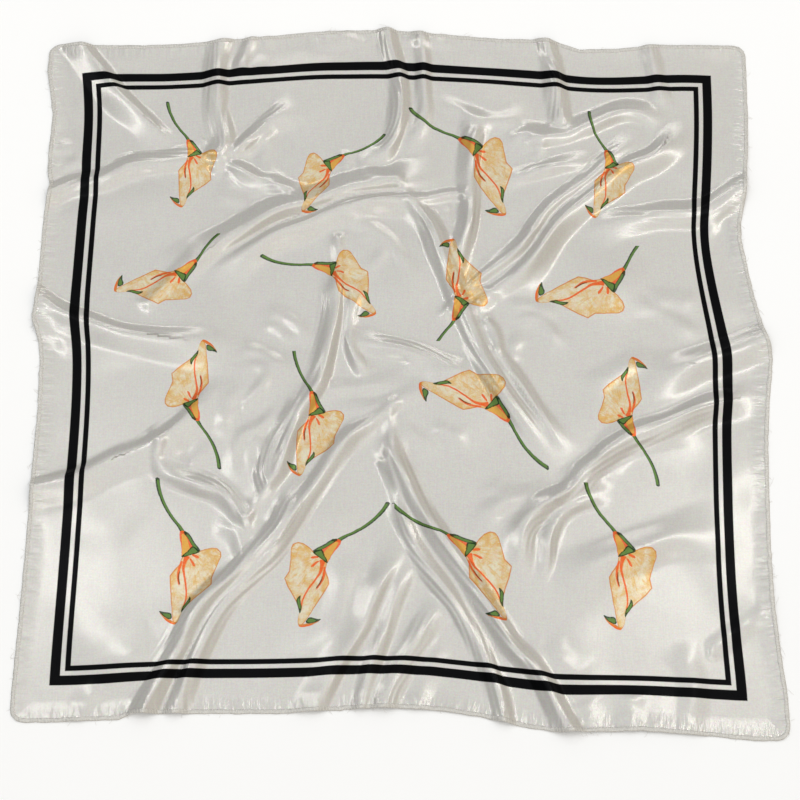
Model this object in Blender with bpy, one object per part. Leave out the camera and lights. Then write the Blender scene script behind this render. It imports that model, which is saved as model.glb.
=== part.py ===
"""A square faux silk scarf, laid out on a flat surface and rumpled.

The cloth is one square panel with a narrow rolled hem sewn along each of its four
sides. The panel is a thin wall that follows the cloth over its folds: it lies flat on
the surface between them and stands clear of it under them.

Every table below is in millimetres. Laid places are measured from the middle of the
laid scarf, x to the right and y away from the viewer, and sewn places, u and v, on the
flat cloth from its middle. The model itself is in metres.
"""

import math
from collections import namedtuple

import bmesh
import bpy
import numpy as np

MM = 0.001

# The square as it is sewn.
SIDE = 900.0
CORNER_RADIUS = 16.0
HEM_WIDTH = 5.0
HEM_HEIGHT = 2.4
SEAM_GAP = 0.3
WALL = 1.0
# Cloth nearer to the surface than this rests on it.
RESTING = 0.03

# Laid length over sewn length: the folds take up the rest.
TAKE_UP = 0.986

# The cells of the sewn square, before the panel is thinned to its triangle budget.
CELLS = 144
CELLS_TO_A_STATION = 2
PANEL_TRIANGLES = 5700
PATH_STEP = 5.0

HALF = SIDE / 2
PANEL_HALF = HALF - HEM_WIDTH - SEAM_GAP

# Where each side of the laid scarf runs: how far out its hem lies at a place along it.
Edge = namedtuple("Edge", "along out")
EDGES = {
    "left": (
        Edge(400, 449), Edge(340, 439), Edge(290, 441), Edge(265, 441), Edge(240, 437),
        Edge(200, 442), Edge(100, 444), Edge(62, 448), Edge(30, 438), Edge(5, 435),
        Edge(-70, 434), Edge(-145, 436), Edge(-290, 439), Edge(-400, 443),
    ),
    "right": (
        Edge(400, 441), Edge(330, 439), Edge(290, 436), Edge(225, 430), Edge(190, 422),
        Edge(165, 421), Edge(126, 427), Edge(86, 433), Edge(50, 441), Edge(27, 448),
        Edge(8, 450), Edge(-30, 445), Edge(-60, 441), Edge(-107, 437), Edge(-217, 433),
        Edge(-290, 432), Edge(-350, 436), Edge(-400, 441),
    ),
    "back": (
        Edge(-400, 439), Edge(-330, 439), Edge(-280, 441), Edge(-229, 446),
        Edge(-178, 451), Edge(-127, 457), Edge(-77, 460), Edge(-20, 462), Edge(76, 453),
        Edge(127, 448), Edge(178, 447), Edge(200, 444), Edge(229, 433), Edge(280, 434),
        Edge(331, 439), Edge(400, 438),
    ),
    "front": (
        Edge(-400, 433), Edge(-320, 430), Edge(-305, 424), Edge(-228, 423),
        Edge(-137, 423), Edge(-46, 418), Edge(0, 417), Edge(46, 420), Edge(91, 427),
        Edge(136, 438), Edge(182, 445), Edge(273, 443), Edge(363, 450), Edge(400, 454),
    ),
}

# A fold: how wide its flanks are to the left and right of its crest's way, its height,
# the shares of its length over which it rises at its start and dies away at its end
# (0 runs off the edge of the cloth), and the laid places that its crest goes through.
Fold = namedtuple("Fold", "left right height rise fall crest")
FOLDS = {
    "back_left_corner": Fold(10, 27, 7, 0, 0.3, (
        (-423, 464), (-398, 426), (-363, 377), (-320, 331), (-278, 291))),
    "back_edge_left": Fold(14, 20, 6.5, 0, 0.2, (
        (-226, 461), (-229, 417), (-232, 381), (-231, 346), (-221, 306), (-225, 287),
        (-255, 276))),
    "back_edge_second": Fold(10, 12, 4, 0, 0.5, (
        (-190, 462), (-193, 436), (-200, 410), (-206, 375))),
    "left_edge_upper": Fold(15, 20, 6, 0, 0.3, (
        (-459, 218), (-433, 229), (-403, 242), (-372, 252), (-342, 265), (-310, 273),
        (-263, 279), (-223, 279))),
    "star_right": Fold(12, 20, 5, 0.25, 0.45, (
        (-218, 275), (-193, 300), (-171, 327), (-147, 346), (-127, 363))),
    "star_front": Fold(14, 15, 4.5, 0.25, 0.45, (
        (-218, 276), (-190, 254), (-157, 240), (-119, 229), (-87, 227))),
    "long_back_left": Fold(24, 15, 8.5, 0.28, 0.3, (
        (-293, 98), (-262, 128), (-229, 157), (-190, 181), (-141, 206), (-87, 226), (-27, 243),
        (25, 248), (72, 241))),
    "long_back_under": Fold(12, 24, 7, 0.3, 0.3, (
        (-244, 109), (-211, 136), (-170, 163), (-124, 186), (-72, 209), (-17, 221), (35, 223),
        (70, 226))),
    "back_edge_middle": Fold(11, 16, 7.5, 0, 0.2, (
        (-18, 475), (-8, 431), (-1, 391), (0, 348), (-4, 311), (-15, 289), (-37, 270))),
    "back_edge_beside": Fold(11, 12, 4.5, 0, 0.4, (
        (26, 471), (31, 418), (30, 375), (29, 338), (20, 301), (5, 271))),
    "back_middle_right": Fold(13, 17, 7.5, 0.25, 0.3, (
        (109, 354), (93, 317), (89, 272), (89, 231), (84, 190), (76, 152), (73, 112))),
    "back_edge_right": Fold(13, 18, 7, 0, 0.2, (
        (185, 467), (191, 423), (198, 383), (204, 343), (209, 309))),
    "back_corner_right": Fold(14, 13, 4, 0, 0.4, (
        (316, 471), (322, 424), (328, 381), (333, 335))),
    "back_shelf": Fold(20, 14, 5, 0.3, 0.2, (
        (126, 301), (166, 303), (209, 310), (239, 325), (275, 338), (310, 338), (338, 324))),
    "back_dip": Fold(14, 12, 3.5, 0.35, 0.4, (
        (110, 243), (145, 252), (182, 261), (225, 273), (263, 277))),
    "long_back_right": Fold(25, 14, 8, 0.18, 0.3, (
        (330, 337), (336, 306), (318, 280), (279, 261), (238, 229), (200, 190), (167, 149),
        (134, 112), (102, 83))),
    "long_back_right_upper": Fold(12, 14, 6, 0.3, 0.35, (
        (317, 315), (268, 281), (227, 244), (186, 204), (153, 166), (120, 131), (83, 97))),
    "right_edge_upper": Fold(22, 18, 5.5, 0, 0.4, (
        (456, 251), (425, 234), (392, 215), (357, 203), (309, 197), (270, 192), (240, 180),
        (209, 161))),
    "centre_right": Fold(15, 18, 8, 0.2, 0.25, (
        (-2, 244), (15, 217), (35, 187), (52, 149), (66, 106), (78, 69), (92, 28), (111, -11),
        (138, -54), (168, -97), (198, -137))),
    "centre_right_beside": Fold(12, 10, 5.5, 0.35, 0.3, (
        (90, 86), (104, 47), (123, 3), (151, -39), (179, -79), (206, -119))),
    "centre_left": Fold(10, 18, 8, 0.25, 0.3, (
        (-76, 152), (-77, 112), (-77, 69), (-85, 25), (-98, -21), (-117, -62), (-133, -100),
        (-153, -145), (-173, -184))),
    "centre_left_beside": Fold(12, 9, 4.5, 0.3, 0.4, (
        (-59, 124), (-60, 86), (-61, 52), (-56, 18), (-43, -13), (-19, -31))),
    "centre_shelf": Fold(15, 16, 4, 0.35, 0.3, (
        (-85, 42), (-46, 33), (-2, 20), (48, 6), (99, -18))),
    "left_edge_middle": Fold(14, 26, 6, 0, 0.5, (
        (-467, 112), (-439, 91), (-411, 70), (-374, 53), (-332, 43), (-283, 35), (-232, 27),
        (-174, 20))),
    "left_edge_lower": Fold(11, 32, 6.5, 0, 0.3, (
        (-449, -159), (-422, -152), (-387, -139), (-348, -123), (-308, -106), (-271, -79),
        (-237, -49), (-192, -18))),
    "left_swirl": Fold(14, 14, 5.5, 0.3, 0.4, (
        (-285, -94), (-286, -119), (-269, -137), (-238, -149), (-209, -164), (-188, -186),
        (-175, -215), (-179, -249))),
    "left_crook": Fold(11, 13, 5, 0.3, 0.35, (
        (-115, -20), (-120, -46), (-138, -76), (-154, -107), (-161, -136), (-153, -164),
        (-150, -188))),
    "long_front_left": Fold(15, 16, 9, 0.2, 0, (
        (-113, -133), (-127, -172), (-140, -204), (-163, -230), (-190, -257), (-217, -282),
        (-237, -311), (-254, -346), (-273, -386), (-298, -436))),
    "long_front_left_under": Fold(16, 12, 6.5, 0.2, 0, (
        (-17, -54), (-36, -69), (-62, -94), (-87, -129), (-113, -166), (-131, -201),
        (-151, -235), (-176, -263), (-203, -294), (-223, -330), (-240, -369), (-258, -433))),
    "long_front_right": Fold(13, 17, 8, 0.15, 0, (
        (-14, -75), (-5, -115), (14, -157), (35, -199), (65, -245), (95, -290), (126, -337),
        (159, -376), (196, -447))),
    "front_right_pair": Fold(12, 14, 6, 0.25, 0, (
        (-9, -144), (2, -184), (16, -224), (44, -268), (71, -306), (92, -346), (107, -388),
        (117, -436))),
    "front_fan_left": Fold(12, 24, 6, 0.35, 0, (
        (2, -193), (-7, -244), (-30, -294), (-57, -344), (-82, -390), (-108, -436))),
    "front_fan_middle": Fold(12, 12, 4.5, 0.35, 0, (
        (14, -220), (3, -265), (-15, -313), (-30, -360), (-41, -406), (-47, -435))),
    "front_fan_right": Fold(18, 18, 5, 0.35, 0, (
        (74, -280), (39, -308), (13, -343), (-7, -383), (-23, -436))),
    "right_edge_low": Fold(13, 20, 7.5, 0.2, 0.35, (
        (188, -162), (208, -141), (237, -116), (266, -95), (305, -76), (353, -57), (409, -42),
        (445, -34))),
    "right_edge_middle": Fold(26, 22, 6, 0, 0.5, (
        (475, 47), (445, 37), (408, 22), (366, 5), (318, -7), (257, -8))),
    "front_crook": Fold(17, 18, 7, 0.2, 0.4, (
        (243, -127), (226, -141), (198, -163), (167, -179), (147, -203), (141, -242),
        (146, -280))),
    "front_crook_inner": Fold(10, 12, 4.5, 0.3, 0.4, (
        (250, -151), (219, -168), (190, -188), (176, -217), (170, -253), (155, -289))),
    "front_right_swell": Fold(24, 28, 5.5, 0.4, 0.4, (
        (180, -304), (202, -270), (240, -239), (289, -224), (351, -208), (403, -196))),
}

CREST_ROUNDNESS = 0.27  # of its flank's width
FOOT_ROUNDNESS = 0.12  # likewise
FOOT_END = 1.6  # where a flank has run out into the flat cloth, likewise
FLARE = 0.7  # how much wider a fold is where it dies away
UNEVEN = 0.14  # how much a crest's height rises and falls along it
MERGE = 2.2  # how softly folds that meet run into each other


def ease(value):
    """0 below 0, 1 above 1, and smooth between them."""
    value = np.clip(value, 0, 1)
    return value * value * (3 - 2 * value)


def smooth_path(points):
    """Points about PATH_STEP apart on a smooth curve through these."""
    knots = np.array(points, float)
    before = 2 * knots[:1] - knots[1:2]
    after = 2 * knots[-1:] - knots[-2:-1]
    knots = np.concatenate([before, knots, after])
    curve = []
    for a, b, c, d in zip(knots, knots[1:], knots[2:], knots[3:]):
        count = max(2, int(np.ceil(np.hypot(*(c - b)) / PATH_STEP)))
        t = np.arange(count)[:, None] / count
        bend = 2 * b + (c - a) * t + (2 * a - 5 * b + 4 * c - d) * t**2
        curve.append((bend + (3 * b - a - 3 * c + d) * t**3) / 2)
    return np.concatenate(curve + [knots[-2:-1]])


def beside(curve, x, y):
    """How far left of the curve each place is, and how far along it, from 0 to 1."""
    nearest = np.full(len(x), np.inf)
    across = np.zeros(len(x))
    along = np.zeros(len(x))
    last = len(curve) - 2
    for i, (start, end) in enumerate(zip(curve, curve[1:])):
        step = end - start
        gap_x = x - start[0]
        gap_y = y - start[1]
        share = (gap_x * step[0] + gap_y * step[1]) / (step @ step)
        # The first and the last stretch go on past the curve's ends.
        share = np.clip(share, -np.inf if i == 0 else 0, np.inf if i == last else 1)
        gap = np.hypot(gap_x - share * step[0], gap_y - share * step[1])
        side = np.sign(step[0] * gap_y - step[1] * gap_x)
        closer = gap < nearest
        nearest = np.where(closer, gap, nearest)
        across = np.where(closer, side * gap, across)
        along = np.where(closer, (i + share) / (last + 1), along)
    return across, along


def flank(place):
    """A fold's height from its crest, at 0, to its foot, at 1: straight, and round at both."""
    rounded = np.sqrt(place**2 + CREST_ROUNDNESS**2) - CREST_ROUNDNESS
    above = 1 - rounded / (math.sqrt(1 + CREST_ROUNDNESS**2) - CREST_ROUNDNESS)
    above = (above + np.sqrt(above**2 + FOOT_ROUNDNESS**2)) / 2
    return above * ease((FOOT_END - place) / (FOOT_END - 1))


def height_at(x, y):
    """The cloth's height over these laid places, each fold running softly into those it meets."""
    total = np.zeros_like(x)
    for number, fold in enumerate(FOLDS.values()):
        curve = smooth_path(fold.crest)
        reach = FOOT_END * (1 + FLARE) * max(fold.left, fold.right)
        low = curve.min(0) - reach
        high = curve.max(0) + reach
        near = (x > low[0]) & (x < high[0]) & (y > low[1]) & (y < high[1])
        near = np.flatnonzero(near)
        across, along = beside(curve, x[near], y[near])
        share = np.ones_like(along)
        if fold.rise:
            share *= ease(along / fold.rise)
        if fold.fall:
            share *= ease((1 - along) / fold.fall)
        width = np.where(across > 0, fold.left, fold.right) * (1 + FLARE * (1 - share))
        uneven = 1 + UNEVEN * np.sin(2 * np.pi * (2.3 * along + 0.37 * number))
        peak = fold.height * share * uneven
        total[near] += (peak * flank(np.abs(across) / width)) ** MERGE
    return total ** (1 / MERGE)


def outline(side, along):
    edge = sorted(EDGES[side])
    return np.interp(along, [place.along for place in edge], [place.out for place in edge])


def laid(u, v):
    """The laid place of each sewn place and its height, its corners rounded and its sides on the outline."""
    corner = HALF - CORNER_RADIUS
    over_u = np.maximum(np.abs(u) - corner, 0)
    over_v = np.maximum(np.abs(v) - corner, 0)
    reach = np.maximum(np.hypot(over_u, over_v), 1e-9)
    pull = 1 - np.maximum(over_u, over_v) / reach
    x = (u - np.sign(u) * over_u * pull) * TAKE_UP
    y = (v - np.sign(v) * over_v * pull) * TAKE_UP
    flat = HALF * TAKE_UP
    shift_x = ease((u / HALF - 0.3) / 0.7) * (outline("right", y) - flat)
    shift_x -= ease((-u / HALF - 0.3) / 0.7) * (outline("left", y) - flat)
    shift_y = ease((v / HALF - 0.3) / 0.7) * (outline("back", x) - flat)
    shift_y -= ease((-v / HALF - 0.3) / 0.7) * (outline("front", x) - flat)
    x = x + shift_x
    y = y + shift_y
    return x, y, height_at(x, y)


def mesh_object(name, points, faces, material):
    """An object of these points, in millimetres, and faces, shaded smooth."""
    mesh = bpy.data.meshes.new(name)
    mesh.from_pydata([tuple(point) for point in np.asarray(points) * MM], [], faces)
    mesh.materials.append(material)
    mesh.shade_smooth()
    mesh.update()
    scarf_piece = bpy.data.objects.new(name, mesh)
    bpy.context.scene.collection.objects.link(scarf_piece)
    return scarf_piece


def hem_stations():
    """The cells' corners at which a side of the panel bends, with all of those at its ends."""
    return sorted({1, CELLS - 1, *range(0, CELLS + 1, CELLS_TO_A_STATION)})


def panel_grid():
    """The panel's points over the sewn square, row by row from the front left."""
    line = np.linspace(-PANEL_HALF, PANEL_HALF, CELLS + 1)
    u, v = (axis.ravel() for axis in np.meshgrid(line, line))
    points = np.stack(laid(u, v), axis=1).reshape(CELLS + 1, CELLS + 1, 3)
    stations = hem_stations()
    between = np.arange(CELLS + 1)
    for side in (points[0], points[-1], points[:, 0], points[:, -1]):
        for axis in range(3):
            side[:, axis] = np.interp(between, stations, side[stations, axis])
    return points


def make_panel(material):
    grid = panel_grid()
    width = CELLS + 1
    faces = [
        (i, i + 1, i + 1 + width, i + width)
        for row in range(CELLS)
        for i in range(row * width, row * width + CELLS)
    ]
    panel = mesh_object("panel", grid.reshape(-1, 3), faces, material)
    inner = panel.vertex_groups.new(name="inside_the_seam")
    inner.add([row * width + i for row in range(1, CELLS) for i in range(1, CELLS)], 1.0, "REPLACE")
    thin = panel.modifiers.new("fewer_triangles_where_flat", "DECIMATE")
    thin.ratio = PANEL_TRIANGLES / (2 * CELLS * CELLS)
    thin.vertex_group = inner.name
    graph = bpy.context.evaluated_depsgraph_get()
    thinned = bpy.data.meshes.new_from_object(panel.evaluated_get(graph))
    panel.modifiers.clear()
    panel.data = thinned
    wall = bmesh.new()
    wall.from_mesh(thinned)
    # Where the cloth rests it lies exactly on the surface.
    for corner in wall.verts:
        if corner.co.z < RESTING * MM:
            corner.co.z = 0.0
    upper = bmesh.ops.extrude_face_region(wall, geom=wall.faces[:], use_keep_orig=True)
    upper = [item for item in upper["geom"] if isinstance(item, bmesh.types.BMVert)]
    wall.normal_update()
    steepness = [max(abs(corner.normal.z), 0.5) for corner in upper]
    for corner, level in zip(upper, steepness):
        corner.co.z += WALL * MM / level
    bmesh.ops.recalc_face_normals(wall, faces=wall.faces)
    wall.to_mesh(thinned)
    wall.free()
    return panel


def make_hem(name, start, step, material):
    """A flattened roll along one side, from corner to corner, its ends cut across the corners."""
    # Across the roll from the seam outwards, and up.
    section = ((0.0, 1.0), (1.0, 0.0), (4.0, 0.0), (5.0, 1.0), (4.0, HEM_HEIGHT), (1.0, HEM_HEIGHT))
    share = np.array(hem_stations()) / CELLS
    rings = []
    for across, up in section:
        outer = PANEL_HALF + SEAM_GAP + across
        u = outer * (start[0] + 2 * share * step[0])
        v = outer * (start[1] + 2 * share * step[1])
        x, y, z = laid(u, v)
        rings.append(np.stack([x, y, z + up], axis=1))
    rings = np.stack(rings, axis=1)
    # Each end stops short of the corner, clear of the next hem.
    for end, inward in ((0, 1), (-1, -2)):
        along = rings[inward] - rings[end]
        rings[end] += along * (SEAM_GAP / 1.4 / np.linalg.norm(along, axis=1, keepdims=True))
    count, sides = rings.shape[:2]
    faces = [tuple(range(sides)), tuple((count - 1) * sides + i for i in range(sides))[::-1]]
    for ring in range(count - 1):
        for i in range(sides):
            a = ring * sides + i
            b = ring * sides + (i + 1) % sides
            faces.append((a, a + sides, b + sides, b))
    return mesh_object(name, rings.reshape(-1, 3), faces, material)


def make_material(name, colour, roughness):
    material = bpy.data.materials.new(name)
    material.use_nodes = True
    shader = material.node_tree.nodes["Principled BSDF"]
    shader.inputs["Base Color"].default_value = (*colour, 1.0)
    shader.inputs["Roughness"].default_value = roughness
    shader.inputs["Metallic"].default_value = 0.0
    return material


def main():
    for old in list(bpy.data.objects):
        bpy.data.objects.remove(old)
    satin = make_material("polyester satin", (0.60, 0.58, 0.55), 0.3)
    rolled = make_material("rolled satin hem", (0.62, 0.60, 0.56), 0.4)
    pieces = [
        make_panel(satin),
        make_hem("hem_front", (-1, -1), (1, 0), rolled),
        make_hem("hem_right", (1, -1), (0, 1), rolled),
        make_hem("hem_back", (1, 1), (-1, 0), rolled),
        make_hem("hem_left", (-1, 1), (0, -1), rolled),
    ]
    # The scarf's middle stands over the origin.
    corners = np.array([piece.bound_box for piece in pieces]).reshape(-1, 3)
    middle = (corners.min(0) + corners.max(0)) / 2
    scarf = bpy.data.objects.new("scarf", None)
    bpy.context.scene.collection.objects.link(scarf)
    scarf.location = (-middle[0], -middle[1], 0.0)
    for piece in pieces:
        piece.parent = scarf


main()
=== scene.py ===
"""A printed faux silk scarf, laid out on a pale floor and rumpled.

It is one square of ivory polyester satin, printed with a double black border stripe and
calla lilies, and rolled and overstitched along its four sides. The cloth is slid over its
own folds until no thread of it is stretched, so the print bends over each fold as real
cloth makes it do.

Unless a name says otherwise, lengths in the tables are in millimetres. "Laid" places are
measured on the floor from the middle of the laid scarf, x to the right and y away from
the viewer. "Sewn" places, u and v, are measured on the flat cloth from its middle.
"""

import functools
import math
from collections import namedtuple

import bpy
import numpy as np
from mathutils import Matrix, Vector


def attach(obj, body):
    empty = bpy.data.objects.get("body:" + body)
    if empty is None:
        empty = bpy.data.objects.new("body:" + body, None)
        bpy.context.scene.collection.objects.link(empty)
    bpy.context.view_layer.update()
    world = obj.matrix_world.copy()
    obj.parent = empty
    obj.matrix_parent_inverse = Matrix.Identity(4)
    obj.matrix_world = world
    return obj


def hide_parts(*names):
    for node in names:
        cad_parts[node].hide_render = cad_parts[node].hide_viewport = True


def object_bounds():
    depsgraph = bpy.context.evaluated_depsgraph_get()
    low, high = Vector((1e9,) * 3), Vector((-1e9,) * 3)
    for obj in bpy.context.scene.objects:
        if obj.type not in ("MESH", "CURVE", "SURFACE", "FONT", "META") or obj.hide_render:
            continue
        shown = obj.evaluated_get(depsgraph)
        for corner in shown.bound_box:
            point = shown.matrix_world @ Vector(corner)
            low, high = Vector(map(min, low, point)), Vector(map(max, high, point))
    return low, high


bl_info = {
    "name": "Printed satin scarf",
    "version": (1, 0, 0),
    "blender": (4, 5, 0),
    "location": "3D View > Sidebar > Scarf",
    "description": "Lays out a printed satin square with its folds, hems and stitches",
    "category": "Add Mesh",
}

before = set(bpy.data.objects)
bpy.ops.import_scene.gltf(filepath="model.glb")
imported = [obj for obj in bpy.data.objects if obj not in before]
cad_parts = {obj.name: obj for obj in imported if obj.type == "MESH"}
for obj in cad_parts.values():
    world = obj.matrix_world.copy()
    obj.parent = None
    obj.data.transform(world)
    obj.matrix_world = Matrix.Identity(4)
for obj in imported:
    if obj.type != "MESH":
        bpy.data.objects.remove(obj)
CAD_BOX = [list(corner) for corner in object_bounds()]
BODY = "root"
MM = 0.001


# --- The form of the laid cloth ---------------------------------------------------------

# Laid length over sewn length: the folds take up the rest.
TAKE_UP = 0.986

# Where each side of the laid scarf runs: how far out its hem lies at a place along it.
Edge = namedtuple("Edge", "along out")
EDGES = {
    "left": (
        Edge(400, 449), Edge(340, 439), Edge(290, 441), Edge(265, 441), Edge(240, 437),
        Edge(200, 442), Edge(100, 444), Edge(62, 448), Edge(30, 438), Edge(5, 435),
        Edge(-70, 434), Edge(-145, 436), Edge(-290, 439), Edge(-400, 443),
    ),
    "right": (
        Edge(400, 441), Edge(330, 439), Edge(290, 436), Edge(225, 430), Edge(190, 422),
        Edge(165, 421), Edge(126, 427), Edge(86, 433), Edge(50, 441), Edge(27, 448),
        Edge(8, 450), Edge(-30, 445), Edge(-60, 441), Edge(-107, 437), Edge(-217, 433),
        Edge(-290, 432), Edge(-350, 436), Edge(-400, 441),
    ),
    "back": (
        Edge(-400, 439), Edge(-330, 439), Edge(-280, 441), Edge(-229, 446),
        Edge(-178, 451), Edge(-127, 457), Edge(-77, 460), Edge(-20, 462), Edge(76, 453),
        Edge(127, 448), Edge(178, 447), Edge(200, 444), Edge(229, 433), Edge(280, 434),
        Edge(331, 439), Edge(400, 438),
    ),
    "front": (
        Edge(-400, 433), Edge(-320, 430), Edge(-305, 424), Edge(-228, 423),
        Edge(-137, 423), Edge(-46, 418), Edge(0, 417), Edge(46, 420), Edge(91, 427),
        Edge(136, 438), Edge(182, 445), Edge(273, 443), Edge(363, 450), Edge(400, 454),
    ),
}

# A fold: how wide its flanks are to the left and right of its crest's way, its height,
# the shares of its length over which it rises at its start and dies away at its end
# (0 runs off the edge of the cloth), and the laid places that its crest goes through.
Fold = namedtuple("Fold", "left right height rise fall crest")
FOLDS = {
    "back_left_corner": Fold(10, 27, 7, 0, 0.3, (
        (-423, 464), (-398, 426), (-363, 377), (-320, 331), (-278, 291))),
    "back_edge_left": Fold(14, 20, 6.5, 0, 0.2, (
        (-226, 461), (-229, 417), (-232, 381), (-231, 346), (-221, 306), (-225, 287),
        (-255, 276))),
    "back_edge_second": Fold(10, 12, 4, 0, 0.5, (
        (-190, 462), (-193, 436), (-200, 410), (-206, 375))),
    "left_edge_upper": Fold(15, 20, 6, 0, 0.3, (
        (-459, 218), (-433, 229), (-403, 242), (-372, 252), (-342, 265), (-310, 273),
        (-263, 279), (-223, 279))),
    "star_right": Fold(12, 20, 5, 0.25, 0.45, (
        (-218, 275), (-193, 300), (-171, 327), (-147, 346), (-127, 363))),
    "star_front": Fold(14, 15, 4.5, 0.25, 0.45, (
        (-218, 276), (-190, 254), (-157, 240), (-119, 229), (-87, 227))),
    "long_back_left": Fold(24, 15, 8.5, 0.28, 0.3, (
        (-293, 98), (-262, 128), (-229, 157), (-190, 181), (-141, 206), (-87, 226), (-27, 243),
        (25, 248), (72, 241))),
    "long_back_under": Fold(12, 24, 7, 0.3, 0.3, (
        (-244, 109), (-211, 136), (-170, 163), (-124, 186), (-72, 209), (-17, 221), (35, 223),
        (70, 226))),
    "back_edge_middle": Fold(11, 16, 7.5, 0, 0.2, (
        (-18, 475), (-8, 431), (-1, 391), (0, 348), (-4, 311), (-15, 289), (-37, 270))),
    "back_edge_beside": Fold(11, 12, 4.5, 0, 0.4, (
        (26, 471), (31, 418), (30, 375), (29, 338), (20, 301), (5, 271))),
    "back_middle_right": Fold(13, 17, 7.5, 0.25, 0.3, (
        (109, 354), (93, 317), (89, 272), (89, 231), (84, 190), (76, 152), (73, 112))),
    "back_edge_right": Fold(13, 18, 7, 0, 0.2, (
        (185, 467), (191, 423), (198, 383), (204, 343), (209, 309))),
    "back_corner_right": Fold(14, 13, 4, 0, 0.4, (
        (316, 471), (322, 424), (328, 381), (333, 335))),
    "back_shelf": Fold(20, 14, 5, 0.3, 0.2, (
        (126, 301), (166, 303), (209, 310), (239, 325), (275, 338), (310, 338), (338, 324))),
    "back_dip": Fold(14, 12, 3.5, 0.35, 0.4, (
        (110, 243), (145, 252), (182, 261), (225, 273), (263, 277))),
    "long_back_right": Fold(25, 14, 8, 0.18, 0.3, (
        (330, 337), (336, 306), (318, 280), (279, 261), (238, 229), (200, 190), (167, 149),
        (134, 112), (102, 83))),
    "long_back_right_upper": Fold(12, 14, 6, 0.3, 0.35, (
        (317, 315), (268, 281), (227, 244), (186, 204), (153, 166), (120, 131), (83, 97))),
    "right_edge_upper": Fold(22, 18, 5.5, 0, 0.4, (
        (456, 251), (425, 234), (392, 215), (357, 203), (309, 197), (270, 192), (240, 180),
        (209, 161))),
    "centre_right": Fold(15, 18, 8, 0.2, 0.25, (
        (-2, 244), (15, 217), (35, 187), (52, 149), (66, 106), (78, 69), (92, 28), (111, -11),
        (138, -54), (168, -97), (198, -137))),
    "centre_right_beside": Fold(12, 10, 5.5, 0.35, 0.3, (
        (90, 86), (104, 47), (123, 3), (151, -39), (179, -79), (206, -119))),
    "centre_left": Fold(10, 18, 8, 0.25, 0.3, (
        (-76, 152), (-77, 112), (-77, 69), (-85, 25), (-98, -21), (-117, -62), (-133, -100),
        (-153, -145), (-173, -184))),
    "centre_left_beside": Fold(12, 9, 4.5, 0.3, 0.4, (
        (-59, 124), (-60, 86), (-61, 52), (-56, 18), (-43, -13), (-19, -31))),
    "centre_shelf": Fold(15, 16, 4, 0.35, 0.3, (
        (-85, 42), (-46, 33), (-2, 20), (48, 6), (99, -18))),
    "left_edge_middle": Fold(14, 26, 6, 0, 0.5, (
        (-467, 112), (-439, 91), (-411, 70), (-374, 53), (-332, 43), (-283, 35), (-232, 27),
        (-174, 20))),
    "left_edge_lower": Fold(11, 32, 6.5, 0, 0.3, (
        (-449, -159), (-422, -152), (-387, -139), (-348, -123), (-308, -106), (-271, -79),
        (-237, -49), (-192, -18))),
    "left_swirl": Fold(14, 14, 5.5, 0.3, 0.4, (
        (-285, -94), (-286, -119), (-269, -137), (-238, -149), (-209, -164), (-188, -186),
        (-175, -215), (-179, -249))),
    "left_crook": Fold(11, 13, 5, 0.3, 0.35, (
        (-115, -20), (-120, -46), (-138, -76), (-154, -107), (-161, -136), (-153, -164),
        (-150, -188))),
    "long_front_left": Fold(15, 16, 9, 0.2, 0, (
        (-113, -133), (-127, -172), (-140, -204), (-163, -230), (-190, -257), (-217, -282),
        (-237, -311), (-254, -346), (-273, -386), (-298, -436))),
    "long_front_left_under": Fold(16, 12, 6.5, 0.2, 0, (
        (-17, -54), (-36, -69), (-62, -94), (-87, -129), (-113, -166), (-131, -201),
        (-151, -235), (-176, -263), (-203, -294), (-223, -330), (-240, -369), (-258, -433))),
    "long_front_right": Fold(13, 17, 8, 0.15, 0, (
        (-14, -75), (-5, -115), (14, -157), (35, -199), (65, -245), (95, -290), (126, -337),
        (159, -376), (196, -447))),
    "front_right_pair": Fold(12, 14, 6, 0.25, 0, (
        (-9, -144), (2, -184), (16, -224), (44, -268), (71, -306), (92, -346), (107, -388),
        (117, -436))),
    "front_fan_left": Fold(12, 24, 6, 0.35, 0, (
        (2, -193), (-7, -244), (-30, -294), (-57, -344), (-82, -390), (-108, -436))),
    "front_fan_middle": Fold(12, 12, 4.5, 0.35, 0, (
        (14, -220), (3, -265), (-15, -313), (-30, -360), (-41, -406), (-47, -435))),
    "front_fan_right": Fold(18, 18, 5, 0.35, 0, (
        (74, -280), (39, -308), (13, -343), (-7, -383), (-23, -436))),
    "right_edge_low": Fold(13, 20, 7.5, 0.2, 0.35, (
        (188, -162), (208, -141), (237, -116), (266, -95), (305, -76), (353, -57), (409, -42),
        (445, -34))),
    "right_edge_middle": Fold(26, 22, 6, 0, 0.5, (
        (475, 47), (445, 37), (408, 22), (366, 5), (318, -7), (257, -8))),
    "front_crook": Fold(17, 18, 7, 0.2, 0.4, (
        (243, -127), (226, -141), (198, -163), (167, -179), (147, -203), (141, -242),
        (146, -280))),
    "front_crook_inner": Fold(10, 12, 4.5, 0.3, 0.4, (
        (250, -151), (219, -168), (190, -188), (176, -217), (170, -253), (155, -289))),
    "front_right_swell": Fold(24, 28, 5.5, 0.4, 0.4, (
        (180, -304), (202, -270), (240, -239), (289, -224), (351, -208), (403, -196))),
}

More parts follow.
